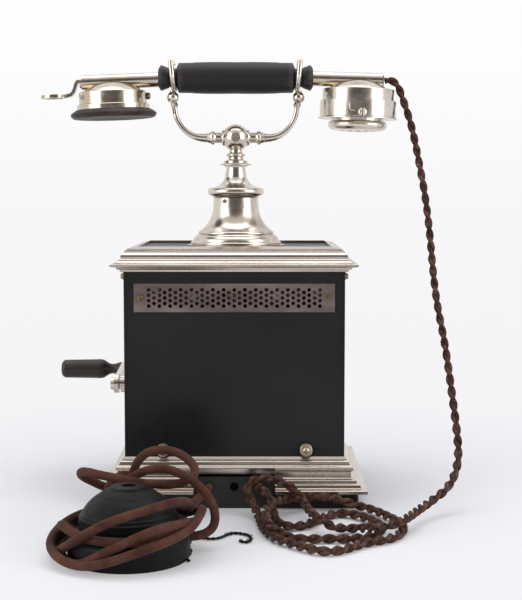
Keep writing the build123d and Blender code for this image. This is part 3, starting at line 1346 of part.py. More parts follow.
cover_top = rosette_profile[-1][1]
with BuildPart() as rosette_cover:
    with BuildSketch(rosette_plane):
        add(outline(lifted(rosette_profile + [
            (rosette_screw_radius + 1, cover_top), (rosette_screw_radius + 1, cover_top - rosette_screw_depth),
            (rosette_screw_radius, cover_top - rosette_screw_depth), (0, cover_top - rosette_screw_depth + 0.6), (0, 0),
        ], rosette_height)))
    revolve(axis=rosette_axis)
rosette_cover.part.label = "rosette_cover"

# ================================================================== cords
with BuildPart() as hand_cord_heap:
    with BuildSketch(Plane.XY.offset(heap_bottom)):
        with BuildLine():
            Spline(*heap_outline, periodic=True)
        make_face()
    extrude(amount=heap_height)
hand_cord_heap.part.label = "hand_cord_heap"

winding_inner = rosette_profile[0][0] + moving_gap
with BuildPart() as line_cord_winding:
    with BuildSketch(rosette_plane):
        add(outline([
            (rosette_radius + moving_gap, winding_bottom), (winding_outer_radius - 1.5, winding_bottom),
            (winding_outer_radius, winding_bottom + 2), (winding_outer_radius, winding_top - winding_shoulder, 1.5),
            (winding_outer_radius - 8, winding_top), (winding_inner + 4, winding_top), (winding_inner, winding_top - 7),
            (winding_inner, rosette_height + moving_gap), (rosette_radius + moving_gap, rosette_height + moving_gap),
        ]))
    revolve(axis=rosette_axis)
line_cord_winding.part.label = "line_cord_winding"

cord_routes = [
    ("hand_cord_lead", [hand_lead_points], hand_cord_radius),
    ("hand_cord_run", [hand_run_points], hand_cord_radius),
    ("hand_cord_end", [hand_end_points, hand_ring_points], hand_cord_radius),
    ("line_cord_run", [line_run_points], line_cord_radius),
    ("line_cord_loops", [line_loop_points], line_cord_radius),
]
cord_tubes = []
for name, routes, radius in cord_routes:
    with BuildPart() as cord_tube:
        length = 0
        for points in routes:
            route = cord_line(name, points)
            length += route.length
            with BuildSketch(Plane(origin=route @ 0, z_dir=route % 0)):
                Circle(radius)
            sweep(path=route)
        add(hand_cord_heap.part, mode=Mode.SUBTRACT)
        add(line_cord_winding.part, mode=Mode.SUBTRACT)
    cord_tube.part.label = name
    cord_tubes.append(cord_tube)
    print(name, "volume", round(cord_tube.part.volume), "section times length", round(pi * radius ** 2 * length))

# ================================================================== files
os.makedirs("parts", exist_ok=True)
pieces = [
    plinth, base_moulding, cord_plate, case_shell, front_panel, panel_brackets, grille_plate, case_screws, cornice,
    top_panel, bell_column, guide_bush, cradle_spring, cradle_stem, cradle_hub, hub_screw, fork_left, fork_right,
    grip, handset_tubes, receiver_case, ear_cap, receiver_unit, hanging_hook, transmitter_case, mouthpiece,
    transmitter_capsule, handset_screws, cord_bush, crank_bush, crank_shaft, crank_arm, crank_grip, drive_gear,
    armature_pinion, armature, magneto_plates, magneto_magnets, mounting_plate, gongs, ringer_yoke, ringer_coils,
    clapper, hook_switch_frame, hook_switch_lever, contact_springs, induction_coil, capacitor, terminal_strip,
    rosette_base, rosette_cover, hand_cord_heap, line_cord_winding, *thumb_screws, *cord_tubes,
]
for piece in pieces:
    export_step(piece.part, "parts/" + piece.part.label + ".step")
print(len(pieces), "pieces")
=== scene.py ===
import json
import math
import random

import bpy
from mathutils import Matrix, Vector


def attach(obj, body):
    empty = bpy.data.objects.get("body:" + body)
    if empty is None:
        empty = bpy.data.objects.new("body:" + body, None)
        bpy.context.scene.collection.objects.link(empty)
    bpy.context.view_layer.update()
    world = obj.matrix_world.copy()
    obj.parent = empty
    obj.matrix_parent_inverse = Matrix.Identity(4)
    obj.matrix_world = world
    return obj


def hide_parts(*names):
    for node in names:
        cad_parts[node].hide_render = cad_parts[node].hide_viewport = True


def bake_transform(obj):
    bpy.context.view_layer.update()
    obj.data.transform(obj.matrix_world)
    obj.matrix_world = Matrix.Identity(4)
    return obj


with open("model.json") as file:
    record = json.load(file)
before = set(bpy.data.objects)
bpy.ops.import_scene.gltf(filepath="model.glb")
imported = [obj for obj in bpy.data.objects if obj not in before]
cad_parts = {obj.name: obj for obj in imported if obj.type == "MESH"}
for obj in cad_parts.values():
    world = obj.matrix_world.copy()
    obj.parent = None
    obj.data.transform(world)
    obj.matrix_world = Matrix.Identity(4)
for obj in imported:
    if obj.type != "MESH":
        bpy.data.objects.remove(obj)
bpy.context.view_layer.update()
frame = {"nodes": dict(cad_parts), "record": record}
nodes = frame["nodes"]

# lengths and places are in metres unless a line says otherwise
CAMERA_PLACE = (0.0183, -0.952, 0.2184)
CAMERA_TILT = 4.84              # degrees below level
CAMERA_LENS = 78                # mm
SENSOR_WIDTH = 36               # mm

SPLINE_STEPS = 12               # resolution_u of every route's spline

STRAND_RADIUS = 0.00168         # the hand cord's two strands
STRAND_FLATNESS = 0.94
STRAND_REACH = 0.00128          # from the cord's middle to a strand's middle, pulled straight
STRAND_REACH_GAIN = 0.00022     # more than that where the cord lies loose
TWIST_PITCH = 0.0178            # along the cord for one whole turn
STRAIGHT_LENGTH = 0.16          # from the handset, pulled straight
LOOSENING_LENGTH = 0.12         # after that, until the strands lie loose

LINE_CORD_RADIUS = 0.00275

STUD_PLACE = (0.0898, -0.0288, 0.2730)
STUD_RADIUS = 0.0030
STUD_DOME = 0.0008
STUD_SLOT = 0.0010
STUD_TURN = -5                  # degrees
STUD_CROWN = 1.15               # the dome's middle, times STUD_DOME; its rim is 1 less
STUD_EDGE = 0.995               # the grid's last line, times STUD_RADIUS, so it isn't a point
SLOT_LINE_RADIUS = 0.00036

WIRE_RADIUS = 0.00085
WIRE_KNOBS = 0.00018            # how far the wire's radius rises and falls
WIRE_KNOB_RATE = 1900           # radians for each metre of wire
WISP_RADIUS = 0.00022
WISP_KNEE = 0.0010              # from the wire's middle to a loose thread's middle
WISP_TIP = 0.0018               # and to its tip
WISP_BEND = 0.0006              # how far the tip is bent aside, at most, each way
WISP_KNEE_BEND = 0.3            # the thread's middle is bent by this share of that

FLOOR_REACH = 6.0
FLOOR_SHADED = (0.13, 0.42)     # distances over which the shaded floor turns to glow
GLOW_FADE = (0.3, 3.5)          # distances over which the glow takes its far colour
DARK_SIDE = (-0.95, -0.55)      # y of a reflected ray's direction, from dark to bright
HORIZON = (-0.02, 0.10)         # z of a ray's direction, from the floor's tone to the backdrop
WARM = (1, 0.99, 0.975)         # colour of the two lamps in front


# ---------------------------------------------------------------- camera

camera_data = bpy.data.cameras.new("camera")
camera_data.lens = CAMERA_LENS
camera_data.sensor_width = SENSOR_WIDTH
camera = bpy.data.objects.new("camera", camera_data)
camera.location = CAMERA_PLACE
camera.rotation_euler = (math.radians(90 - CAMERA_TILT), 0, 0)
bpy.context.scene.collection.objects.link(camera)
bpy.context.scene.camera = camera
bpy.context.scene.view_settings.view_transform = "Standard"


# ---------------------------------------------------------------- the cords' routes, in metres

# Each point was picked one by one: on the photo with a depth or a height beside it, or in
# millimetres, and round the rosette as an angle, a radius and a height. A helper script that isn't
# handed in put them through the camera and printed these lists, which are finer than part.py's own.
hand_route = [
    (0.1079, 0, 0.2972), (0.111, 0, 0.2976), (0.114, 0, 0.2969), (0.1166, 0, 0.2946),
    (0.1186, 0, 0.2912), (0.1211, 0, 0.2842), (0.1236, -0.0005, 0.277), (0.1266, -0.001, 0.268),
    (0.13, -0.002, 0.254), (0.1334, -0.004, 0.236), (0.1367, -0.006, 0.218), (0.139, -0.009, 0.2),
    (0.1408, -0.0125, 0.181), (0.142, -0.018, 0.16), (0.1442, -0.025, 0.137),
    (0.1488, -0.035, 0.11), (0.1512, -0.044, 0.087), (0.1532, -0.0525, 0.066),
    (0.1546, -0.0615, 0.048), (0.1542, -0.0705, 0.034), (0.1496, -0.0805, 0.023),
    (0.142, -0.091, 0.0165), (0.134, -0.0966, 0.0124), (0.1288, -0.1039, 0.0108),
    (0.1229, -0.1137, 0.01), (0.1169, -0.1258, 0.0097), (0.111, -0.1386, 0.0097),
    (0.1052, -0.1477, 0.0096), (0.0996, -0.1536, 0.0096), (0.0943, -0.1572, 0.0096),
    (0.0892, -0.158, 0.0093), (0.0848, -0.1517, 0.0072), (0.0805, -0.1424, 0.0044),
    (0.0757, -0.1388, 0.0034), (0.0706, -0.1388, 0.0036), (0.0655, -0.143, 0.0054),
    (0.0612, -0.1467, 0.0078), (0.0575, -0.145, 0.0094), (0.0541, -0.1361, 0.0097),
    (0.0513, -0.1248, 0.0096), (0.049, -0.1132, 0.01), (0.0471, -0.0955, 0.0098),
    (0.0448, -0.091, 0.0124), (0.0421, -0.0884, 0.0154), (0.0389, -0.0866, 0.0178),
    (0.0352, -0.0856, 0.0199), (0.0315, -0.0852, 0.0217), (0.0274, -0.085, 0.023),
    (0.023, -0.085, 0.0237), (0.0186, -0.085, 0.0239), (0.0146, -0.0854, 0.0233),
    (0.0111, -0.0862, 0.0215), (0.0091, -0.0876, 0.0186), (0.009, -0.09, 0.0153),
    (0.0107, -0.094, 0.0121), (0.0132, -0.0961, 0.008), (0.0154, -0.101, 0.005),
    (0.0171, -0.1123, 0.0035), (0.0186, -0.1279, 0.0032), (0.021, -0.143, 0.0032),
    (0.0241, -0.154, 0.0032), (0.0276, -0.1619, 0.0032), (0.0318, -0.1679, 0.0032),
    (0.0366, -0.1734, 0.0032), (0.0419, -0.1794, 0.0032), (0.0472, -0.1854, 0.0032),
    (0.0527, -0.1897, 0.0032), (0.0592, -0.191, 0.0032), (0.0656, -0.1884, 0.0032),
    (0.0717, -0.1823, 0.0032), (0.0777, -0.1756, 0.0032), (0.0836, -0.1707, 0.0032),
    (0.0897, -0.167, 0.0032), (0.0956, -0.1638, 0.0032), (0.1013, -0.1587, 0.0032),
    (0.1063, -0.1502, 0.0032), (0.1094, -0.1388, 0.0032), (0.1092, -0.1281, 0.0032),
    (0.1068, -0.1184, 0.0032), (0.1034, -0.1096, 0.0032), (0.0999, -0.1016, 0.0032),
    (0.0959, -0.0941, 0.0034), (0.0916, -0.0883, 0.0036), (0.0867, -0.082, 0.0035),
    (0.0809, -0.0822, 0.0053), (0.0751, -0.0824, 0.0075), (0.069, -0.0824, 0.0091),
    (0.0628, -0.0824, 0.0101), (0.0567, -0.0824, 0.0105), (0.0506, -0.0824, 0.0106),
    (0.0448, -0.0824, 0.0104), (0.0394, -0.0834, 0.0098), (0.0342, -0.088, 0.0099),
    (0.029, -0.098, 0.0114), (0.0249, -0.109, 0.0123), (0.0222, -0.1175, 0.0112),
    (0.0213, -0.1267, 0.0098), (0.0215, -0.1358, 0.0086), (0.023, -0.1489, 0.009),
    (0.0258, -0.1525, 0.0074), (0.0292, -0.1523, 0.0048), (0.033, -0.1553, 0.0033),
    (0.0372, -0.1608, 0.0032), (0.0427, -0.1629, 0.0032), (0.0492, -0.1633, 0.0032),
    (0.0557, -0.1629, 0.0032), (0.0623, -0.1624, 0.0032), (0.0684, -0.1629, 0.0032),
    (0.074, -0.1624, 0.0032), (0.0797, -0.1605, 0.0032), (0.0853, -0.1573, 0.0032),
    (0.0905, -0.1511, 0.0032), (0.0947, -0.1427, 0.0032), (0.0959, -0.1334, 0.0032),
    (0.0941, -0.1251, 0.0032), (0.0905, -0.1174, 0.0032), (0.0865, -0.1101, 0.0032),
    (0.0824, -0.104, 0.0032), (0.0777, -0.1, 0.0032), (0.0728, -0.0984, 0.0032),
    (0.068, -0.0995, 0.0032), (0.0635, -0.1032, 0.0032), (0.0588, -0.1107, 0.0032),
    (0.0542, -0.1187, 0.0032), (0.049, -0.1261, 0.0032), (0.0437, -0.1311, 0.0032),
    (0.0382, -0.1331, 0.0032), (0.0333, -0.1311, 0.0032), (0.0296, -0.1241, 0.0032),
    (0.0274, -0.1133, 0.0032), (0.0268, -0.1008, 0.0034), (0.0267, -0.1014, 0.0068),
    (0.0259, -0.098, 0.0092), (0.0245, -0.0948, 0.0117), (0.0225, -0.0916, 0.0141),
    (0.0202, -0.088, 0.0162), (0.0178, -0.0828, 0.0151), (0.017, -0.076, 0.015),
    (0.017, -0.0695, 0.015),
]

line_route = [
    (-0.017, -0.0695, 0.015), (-0.017, -0.0775, 0.015), (-0.021, -0.0885, 0.0134),
    (-0.027, -0.101, 0.0106), (-0.034, -0.1145, 0.0098), (-0.041, -0.1285, 0.0114),
    (-0.048, -0.139, 0.0144), (-0.0654, -0.1448, 0.0176), (-0.0823, -0.1499, 0.0194),
    (-0.0951, -0.1599, 0.0178), (-0.103, -0.1721, 0.015), (-0.1067, -0.1861, 0.0122),
    (-0.1063, -0.2007, 0.0102), (-0.102, -0.2131, 0.008), (-0.094, -0.2234, 0.006),
    (-0.0835, -0.2308, 0.0056), (-0.0723, -0.2349, 0.008), (-0.0621, -0.2358, 0.0112),
    (-0.0512, -0.2345, 0.0148), (-0.0412, -0.2305, 0.0174), (-0.0322, -0.2247, 0.0196),
    (-0.0249, -0.2169, 0.0218), (-0.0203, -0.2089, 0.0245), (-0.0176, -0.2009, 0.028),
    (-0.0165, -0.1918, 0.029), (-0.0181, -0.1812, 0.0265), (-0.0233, -0.1695, 0.0225),
    (-0.0329, -0.1581, 0.0173), (-0.0458, -0.1506, 0.0123), (-0.0605, -0.148, 0.0094),
    (-0.0766, -0.1511, 0.0082), (-0.091, -0.1594, 0.0072), (-0.1, -0.1734, 0.0058),
    (-0.1022, -0.1881, 0.0044), (-0.099, -0.202, 0.0033), (-0.0935, -0.2133, 0.0032),
    (-0.0869, -0.2224, 0.004), (-0.0791, -0.2292, 0.0084), (-0.0699, -0.2319, 0.014),
    (-0.0605, -0.2325, 0.0185), (-0.0506, -0.2308, 0.0228), (-0.0413, -0.2272, 0.0258),
    (-0.0331, -0.2215, 0.0266), (-0.0269, -0.2136, 0.026), (-0.0225, -0.2034, 0.0242),
    (-0.0207, -0.191, 0.0215), (-0.0229, -0.1773, 0.0175), (-0.0308, -0.1642, 0.0132),
    (-0.043, -0.155, 0.0092), (-0.0577, -0.1513, 0.0052), (-0.0727, -0.1535, 0.0032),
    (-0.0858, -0.1609, 0.0042), (-0.0946, -0.1713, 0.0098), (-0.0998, -0.1826, 0.0168),
    (-0.1009, -0.1952, 0.0208), (-0.0965, -0.2055, 0.0216), (-0.0899, -0.2124, 0.0198),
    (-0.0833, -0.2173, 0.0183), (-0.0766, -0.2214, 0.018), (-0.0689, -0.2246, 0.018),
    (-0.0605, -0.2258, 0.018), (-0.0509, -0.2245, 0.018), (-0.041, -0.2199, 0.0183),
    (-0.0331, -0.2124, 0.0188), (-0.0274, -0.2018, 0.019), (-0.0255, -0.1898, 0.0186),
    (-0.028, -0.1765, 0.0182), (-0.0348, -0.1644, 0.018), (-0.046, -0.155, 0.017),
    (-0.0605, -0.1495, 0.016), (-0.0776, -0.1487, 0.0146), (-0.0936, -0.1568, 0.012),
    (-0.1035, -0.17, 0.0086), (-0.1068, -0.1845, 0.0054), (-0.1047, -0.1972, 0.0046),
    (-0.0994, -0.2067, 0.0084), (-0.0937, -0.2151, 0.0134), (-0.0862, -0.2216, 0.0194),
    (-0.077, -0.2248, 0.0254), (-0.0679, -0.226, 0.03), (-0.0587, -0.2258, 0.0332),
    (-0.0489, -0.2229, 0.0356), (-0.0405, -0.2185, 0.0372), (-0.0333, -0.2122, 0.0378),
    (-0.0279, -0.2042, 0.037), (-0.0242, -0.1948, 0.0336), (-0.0236, -0.1845, 0.0286),
    (-0.0269, -0.1732, 0.025), (-0.0349, -0.1626, 0.0236), (-0.0459, -0.1548, 0.023),
    (-0.0577, -0.1511, 0.022), (-0.0669, -0.1505, 0.0235), (-0.075, -0.1511, 0.027),
    (-0.079, -0.1465, 0.031), (-0.0755, -0.1395, 0.035), (-0.0695, -0.1364, 0.0384),
    (-0.065, -0.137, 0.0357), (-0.0623, -0.1386, 0.0409), (-0.0608, -0.14, 0.0452),
    (-0.0585, -0.1412, 0.0489), (-0.0549, -0.1425, 0.0523), (-0.0503, -0.143, 0.0545),
    (-0.045, -0.1436, 0.0554), (-0.0396, -0.1444, 0.0552), (-0.0342, -0.1454, 0.0537),
    (-0.0293, -0.147, 0.0514), (-0.0254, -0.149, 0.0484), (-0.0229, -0.1514, 0.045),
    (-0.0231, -0.154, 0.0417), (-0.0258, -0.1566, 0.0391), (-0.0303, -0.159, 0.0375),
    (-0.0364, -0.1612, 0.037), (-0.0437, -0.163, 0.0374), (-0.0512, -0.1644, 0.0382),
    (-0.0591, -0.1656, 0.0396), (-0.0658, -0.1662, 0.041), (-0.0722, -0.1662, 0.0425),
    (-0.0781, -0.1656, 0.0434), (-0.0838, -0.1642, 0.0444), (-0.0891, -0.1616, 0.0451),
    (-0.0932, -0.1576, 0.0444), (-0.0944, -0.1526, 0.0415), (-0.0926, -0.1482, 0.0385),
    (-0.0893, -0.1448, 0.0359), (-0.0858, -0.1422, 0.0334), (-0.0818, -0.1402, 0.031),
    (-0.0775, -0.1392, 0.0295), (-0.0728, -0.14, 0.0303), (-0.0682, -0.1428, 0.0338),
    (-0.0637, -0.1464, 0.0378), (-0.0594, -0.15, 0.0409), (-0.0549, -0.153, 0.0435),
    (-0.0498, -0.1558, 0.0454), (-0.044, -0.1584, 0.0464), (-0.0381, -0.1608, 0.0463),
    (-0.0325, -0.1628, 0.0446), (-0.0272, -0.1646, 0.0425), (-0.0225, -0.1662, 0.0395),
    (-0.0184, -0.1678, 0.0362), (-0.0146, -0.1694, 0.0322), (-0.0116, -0.1708, 0.0275),
    (-0.0099, -0.172, 0.0225), (-0.0096, -0.173, 0.0174), (-0.0111, -0.1744, 0.0132),
    (-0.0148, -0.1756, 0.0104), (-0.0192, -0.1764, 0.0092), (-0.0233, -0.177, 0.0087),
    (-0.0268, -0.1776, 0.0085),
]

# thin black wires with frayed ends, which come out of the rosette's right side and lie on the floor
long_wire_route = [
    (-0.0238, -0.1557, 0.0034), (-0.0218, -0.1536, 0.0022), (-0.0193, -0.1526, 0.0013),
    (-0.0161, -0.1542, 0.0011), (-0.0129, -0.1549, 0.0011), (-0.0098, -0.1544, 0.0011),
    (-0.0071, -0.1521, 0.0011), (-0.0047, -0.1478, 0.0011), (-0.0023, -0.144, 0.0011),
    (0.0002, -0.1416, 0.0011), (0.003, -0.1411, 0.0011), (0.0059, -0.1425, 0.0011),
    (0.0088, -0.1445, 0.0011), (0.0114, -0.1488, 0.0011), (0.0124, -0.1558, 0.0011),
    (0.0107, -0.1618, 0.0011), (0.0077, -0.1628, 0.0011), (0.0049, -0.1595, 0.0011),
]
short_wire_route = [
    (-0.0246, -0.1595, 0.0026), (-0.0254, -0.1636, 0.002), (-0.0263, -0.1683, 0.0013),
    (-0.0257, -0.1758, 0.0011), (-0.0241, -0.1824, 0.0011), (-0.0243, -0.1898, 0.0011),
    (-0.026, -0.1941, 0.0011), (-0.026, -0.1999, 0.0011), (-0.0239, -0.2037, 0.0011),
]


# ---------------------------------------------------------------- helpers for curves and tubes

def spline(name, points):
    data = bpy.data.curves.new(name, "CURVE")
    data.dimensions = "3D"
    data.resolution_u = SPLINE_STEPS
    line = data.splines.new("NURBS")
    line.points.add(len(points) - 1)
    for knot, place in zip(line.points, points):
        knot.co = (*place, 1)
    line.order_u = 3
    line.use_endpoint_u = True
    obj = bpy.data.objects.new(name, data)
    bpy.context.scene.collection.objects.link(obj)
    return obj


def smooth_points(name, points):
    """The points of the route's NURBS spline, which a mesh tube follows."""
    curve = spline(name, points)
    mesh = bpy.data.meshes.new_from_object(curve)
    line = [v.co.copy() for v in mesh.vertices]
    data = curve.data
    bpy.data.objects.remove(curve)
    bpy.data.curves.remove(data)
    bpy.data.meshes.remove(mesh)
    return line


def frames_along(line):
    """A tangent and a side direction at each point, turned as little as possible."""
    count = len(line)
    tangents = []
    for i in range(count):
        ahead = line[min(i + 1, count - 1)]
        behind = line[max(i - 1, 0)]
        tangents.append((ahead - behind).normalized())
    side = tangents[0].orthogonal().normalized()
    sides = []
    for tangent in tangents:
        side = (side - tangent * side.dot(tangent)).normalized()
        sides.append(side.copy())
    return tangents, sides


def steady(radius):
    """The same radius all along a tube."""
    return lambda s: radius


def centred(s):
    """A tube whose middle stays on its line."""
    return 0, 0


def tube(line, radius_at, shift_at=centred, corners=10, flat=1.0):
    """Vertices, faces and UVs of a tube round a line. At the length s along it, radius_at(s) is
    its radius, and shift_at(s) the angle and the distance by which its middle leaves the line."""
    tangents, sides = frames_along(line)
    verts = []
    lengths = []
    travelled = 0.0
    for i, place in enumerate(line):
        if i:
            travelled += (place - line[i - 1]).length
        side = sides[i]
        other = tangents[i].cross(side)
        turn, distance = shift_at(travelled)
        out = side * math.cos(turn) + other * math.sin(turn)
        across = tangents[i].cross(out)
        middle = place + out * distance
        radius = radius_at(travelled)
        for k in range(corners):
            angle = 2 * math.pi * k / corners
            verts.append(middle + out * (radius * flat * math.cos(angle))
                         + across * (radius * math.sin(angle)))
        lengths.append(travelled)
    faces = []
    face_uvs = []
    for i in range(len(line) - 1):
        for k in range(corners):
            m = (k + 1) % corners
            faces.append((i * corners + k, i * corners + m,
                          (i + 1) * corners + m, (i + 1) * corners + k))
            face_uvs.append(((k / corners, lengths[i]), ((k + 1) / corners, lengths[i]),
                             ((k + 1) / corners, lengths[i + 1]), (k / corners, lengths[i + 1])))
    faces.append(tuple(range(corners))[::-1])
    face_uvs.append(tuple((0.5, lengths[0]) for _ in range(corners)))
    last = (len(line) - 1) * corners
    faces.append(tuple(last + k for k in range(corners)))
    face_uvs.append(tuple((0.5, lengths[-1]) for _ in range(corners)))
    return verts, faces, face_uvs


def mesh_object(name, parts):
    """One object from several (verts, faces, face_uvs), with its four-sided faces smooth."""
    verts = []
    faces = []
    uvs = []
    for part_verts, part_faces, part_uvs in parts:
        base = len(verts)
        verts += [tuple(v) for v in part_verts]
        faces += [tuple(base + i for i in face) for face in part_faces]
        uvs += part_uvs
    mesh = bpy.data.meshes.new(name)
    mesh.from_pydata(verts, [], faces)
    layer = mesh.uv_layers.new(name="length")
    for face, corners in zip(mesh.polygons, uvs):
        for loop, uv in zip(face.loop_indices, corners):
            layer.data[loop].uv = uv
    for face in mesh.polygons:
        face.use_smooth = len(face.vertices) == 4
    obj = bpy.data.objects.new(name, mesh)
    bpy.context.scene.collection.objects.link(obj)
    return obj


# ---------------------------------------------------------------- helpers for materials

def socket(shader, name, value):
    shader.inputs[name].default_value = value


def new_material(name):
    material = bpy.data.materials.new(name)
    material.use_nodes = True
    tree = material.node_tree
    return material, tree, tree.nodes["Principled BSDF"]


def node(tree, kind, **values):
    made = tree.nodes.new(kind)
    for key, value in values.items():
        setattr(made, key, value)
    return made


def coordinates(tree, stretch=(1, 1, 1)):
    """Object coordinates; a small stretch draws a pattern out along that axis."""
    source = node(tree, "ShaderNodeTexCoord")
    mapping = node(tree, "ShaderNodeMapping")
    mapping.inputs["Scale"].default_value = stretch
    tree.links.new(source.outputs["Object"], mapping.inputs["Vector"])
    return mapping.outputs["Vector"]


def noise(tree, vector, scale, detail=5.0, roughness=0.55):
    made = node(tree, "ShaderNodeTexNoise")
    made.inputs["Scale"].default_value = scale
    made.inputs["Detail"].default_value = detail
    made.inputs["Roughness"].default_value = roughness
    tree.links.new(vector, made.inputs["Vector"])
    return made.outputs["Fac"]


def ramp(tree, value, stops):
    """The colour at a value, from (place, colour) stops."""
    made = node(tree, "ShaderNodeValToRGB")
    band = made.color_ramp
    while len(band.elements) < len(stops):
        band.elements.new(0.5)
    for element, (place, colour) in zip(band.elements, stops):
        element.position = place
        element.color = (*colour, 1)
    tree.links.new(value, made.inputs["Fac"])
    return made.outputs["Color"]


def between(tree, value, low, high, start=0.3, end=0.7):
    """Goes from low to high as the value goes from start to end."""
    made = node(tree, "ShaderNodeMapRange")
    made.inputs["From Min"].default_value = start
    made.inputs["From Max"].default_value = end
    made.inputs["To Min"].default_value = low
    made.inputs["To Max"].default_value = high
    tree.links.new(value, made.inputs["Value"])
    return made.outputs["Result"]


def mix(tree, factor, first, second):
    made = node(tree, "ShaderNodeMix", data_type="RGBA")
    if isinstance(factor, float):
        made.inputs["Factor"].default_value = factor
    else:
        tree.links.new(factor, made.inputs["Factor"])
    for name, value in (("A", first), ("B", second)):
        target = [s for s in made.inputs if s.name == name and s.type == "RGBA"][0]
        if isinstance(value, tuple):
            target.default_value = (*value, 1)
        else:
            tree.links.new(value, target)
    return [s for s in made.outputs if s.type == "RGBA"][0]


def math_node(tree, operation, first, second=0.5):
    made = node(tree, "ShaderNodeMath", operation=operation)
    for i, value in enumerate((first, second)):
        if isinstance(value, (int, float)):
            made.inputs[i].default_value = value
        else:
            tree.links.new(value, made.inputs[i])
    return made.outputs[0]


def bump(tree, shader, height, strength, distance):
    made = node(tree, "ShaderNodeBump")
    made.inputs["Strength"].default_value = strength
    made.inputs["Distance"].default_value = distance
    tree.links.new(height, made.inputs["Height"])
    tree.links.new(made.outputs["Normal"], shader.inputs["Normal"])


def scaled(colour, amount):
    return tuple(min(1, c * amount) for c in colour)


# ---------------------------------------------------------------- kinds of finish

GRAIN_DEPTH = 0.0002            # bump distance of surface and plated
THREAD_DEPTH = 0.0004           # bump distance of braid
WORN_CORNER = (0.56, 0.62)      # Pointiness, from unworn to worn
HOLLOW = (0.42, 0.485)          # Pointiness, from a hollow with the most painted shade to a face with none
LOOKS_DOWN = (-0.9, 0.35)       # z of the normal, from the most painted brassy shade to none
SPECKS = (0.72, 0.82)           # noise, from no speck to a whole one


def surface(name, tones, scale, rough, metal=0.0, specular=0.5, stretch=(1, 1, 1),
            grain=900, strength=0.15, edge=None):
    """A finish whose colour, gloss and surface all vary: tones are the ramp over a cloudy noise,
    rough is the roughness at each end of a finer noise, and edge is the colour of worn corners."""
    material, tree, shader = new_material(name)
    vector = coordinates(tree, stretch)
    cloud = noise(tree, vector, scale, detail=6)
    colour = ramp(tree, cloud, tones)
    if edge:
        corner = node(tree, "ShaderNodeNewGeometry").outputs["Pointiness"]
        patch = math_node(tree, "MULTIPLY", noise(tree, vector, scale * 6, detail=4), 0.08)
        worn = between(tree, math_node(tree, "ADD", corner, patch), 0, 0.8, *WORN_CORNER)
        colour = mix(tree, worn, colour, edge)
    tree.links.new(colour, shader.inputs["Base Color"])
    fine = noise(tree, vector, scale * 8, detail=5, roughness=0.65)
    tree.links.new(between(tree, fine, *rough), shader.inputs["Roughness"])
    socket(shader, "Metallic", metal)
    socket(shader, "Specular IOR Level", specular)
    bump(tree, shader, noise(tree, vector, grain, detail=4), strength, GRAIN_DEPTH)
    return material


NICKEL = (0.66, 0.60, 0.53)
TARNISH = (0.42, 0.36, 0.30)
BRASS = (0.52, 0.38, 0.17)


def plated(name, bright, dull, rough, under=0.0, scale=38, hollow_shade_depth=0.45, drawing_and_reflection_streaks=1.0):
    """Nickel plate: cloudy tarnish, painted shade in the hollows, brass specks where the plate is
    thin.
    under is how much a darker brassy tone shows on faces that look down, as painted shade for a
    dark reflection there; hollow_shade_depth is how dark the painted shade in the hollows is; and
    drawing_and_reflection_streaks below 1 makes level streaks, both marks of drawing the moulding
    and painted reflection bands."""
    material, tree, shader = new_material(name)
    # a stretch below 1 draws the noise out into level streaks: marks of drawing, and painted
    # reflection bands
    vector = coordinates(tree, (drawing_and_reflection_streaks, drawing_and_reflection_streaks, 1))
    cloud = noise(tree, vector, scale, detail=7, roughness=0.6)
    colour = ramp(tree, cloud, [(0.30, dull), (0.52, bright), (0.75, scaled(bright, 1.06))])
    geometry = node(tree, "ShaderNodeNewGeometry")
    # painted shade: the hollows are darkened towards a dull tone, as if shade fell in them
    painted_hollow_shade = between(tree, geometry.outputs["Pointiness"], hollow_shade_depth, 0.0, *HOLLOW)
    colour = mix(tree, painted_hollow_shade, colour, scaled(dull, 0.45))
    # painted shade: faces that look down take a darker brassy tone, standing for the dark
    # reflection under them
    if under:
        normal = node(tree, "ShaderNodeSeparateXYZ")
        tree.links.new(geometry.outputs["Normal"], normal.inputs["Vector"])
        low = between(tree, normal.outputs["Z"], under, 0.0, *LOOKS_DOWN)
        patch = between(tree, noise(tree, vector, 90, detail=5), 0.3, 1.0)
        colour = mix(tree, math_node(tree, "MULTIPLY", low, patch), colour, BRASS)
    specks = between(tree, noise(tree, vector, 420, detail=3), 0.0, 0.3, *SPECKS)
    colour = mix(tree, specks, colour, BRASS)
    tree.links.new(colour, shader.inputs["Base Color"])
    fine = noise(tree, vector, 120, detail=4, roughness=0.6)
    tree.links.new(between(tree, fine, *rough), shader.inputs["Roughness"])
    socket(shader, "Metallic", 1.0)
    height = noise(tree, vector, 120, detail=3, roughness=0.4)
    bump(tree, shader, height, strength=0.035, distance=GRAIN_DEPTH)
    return material


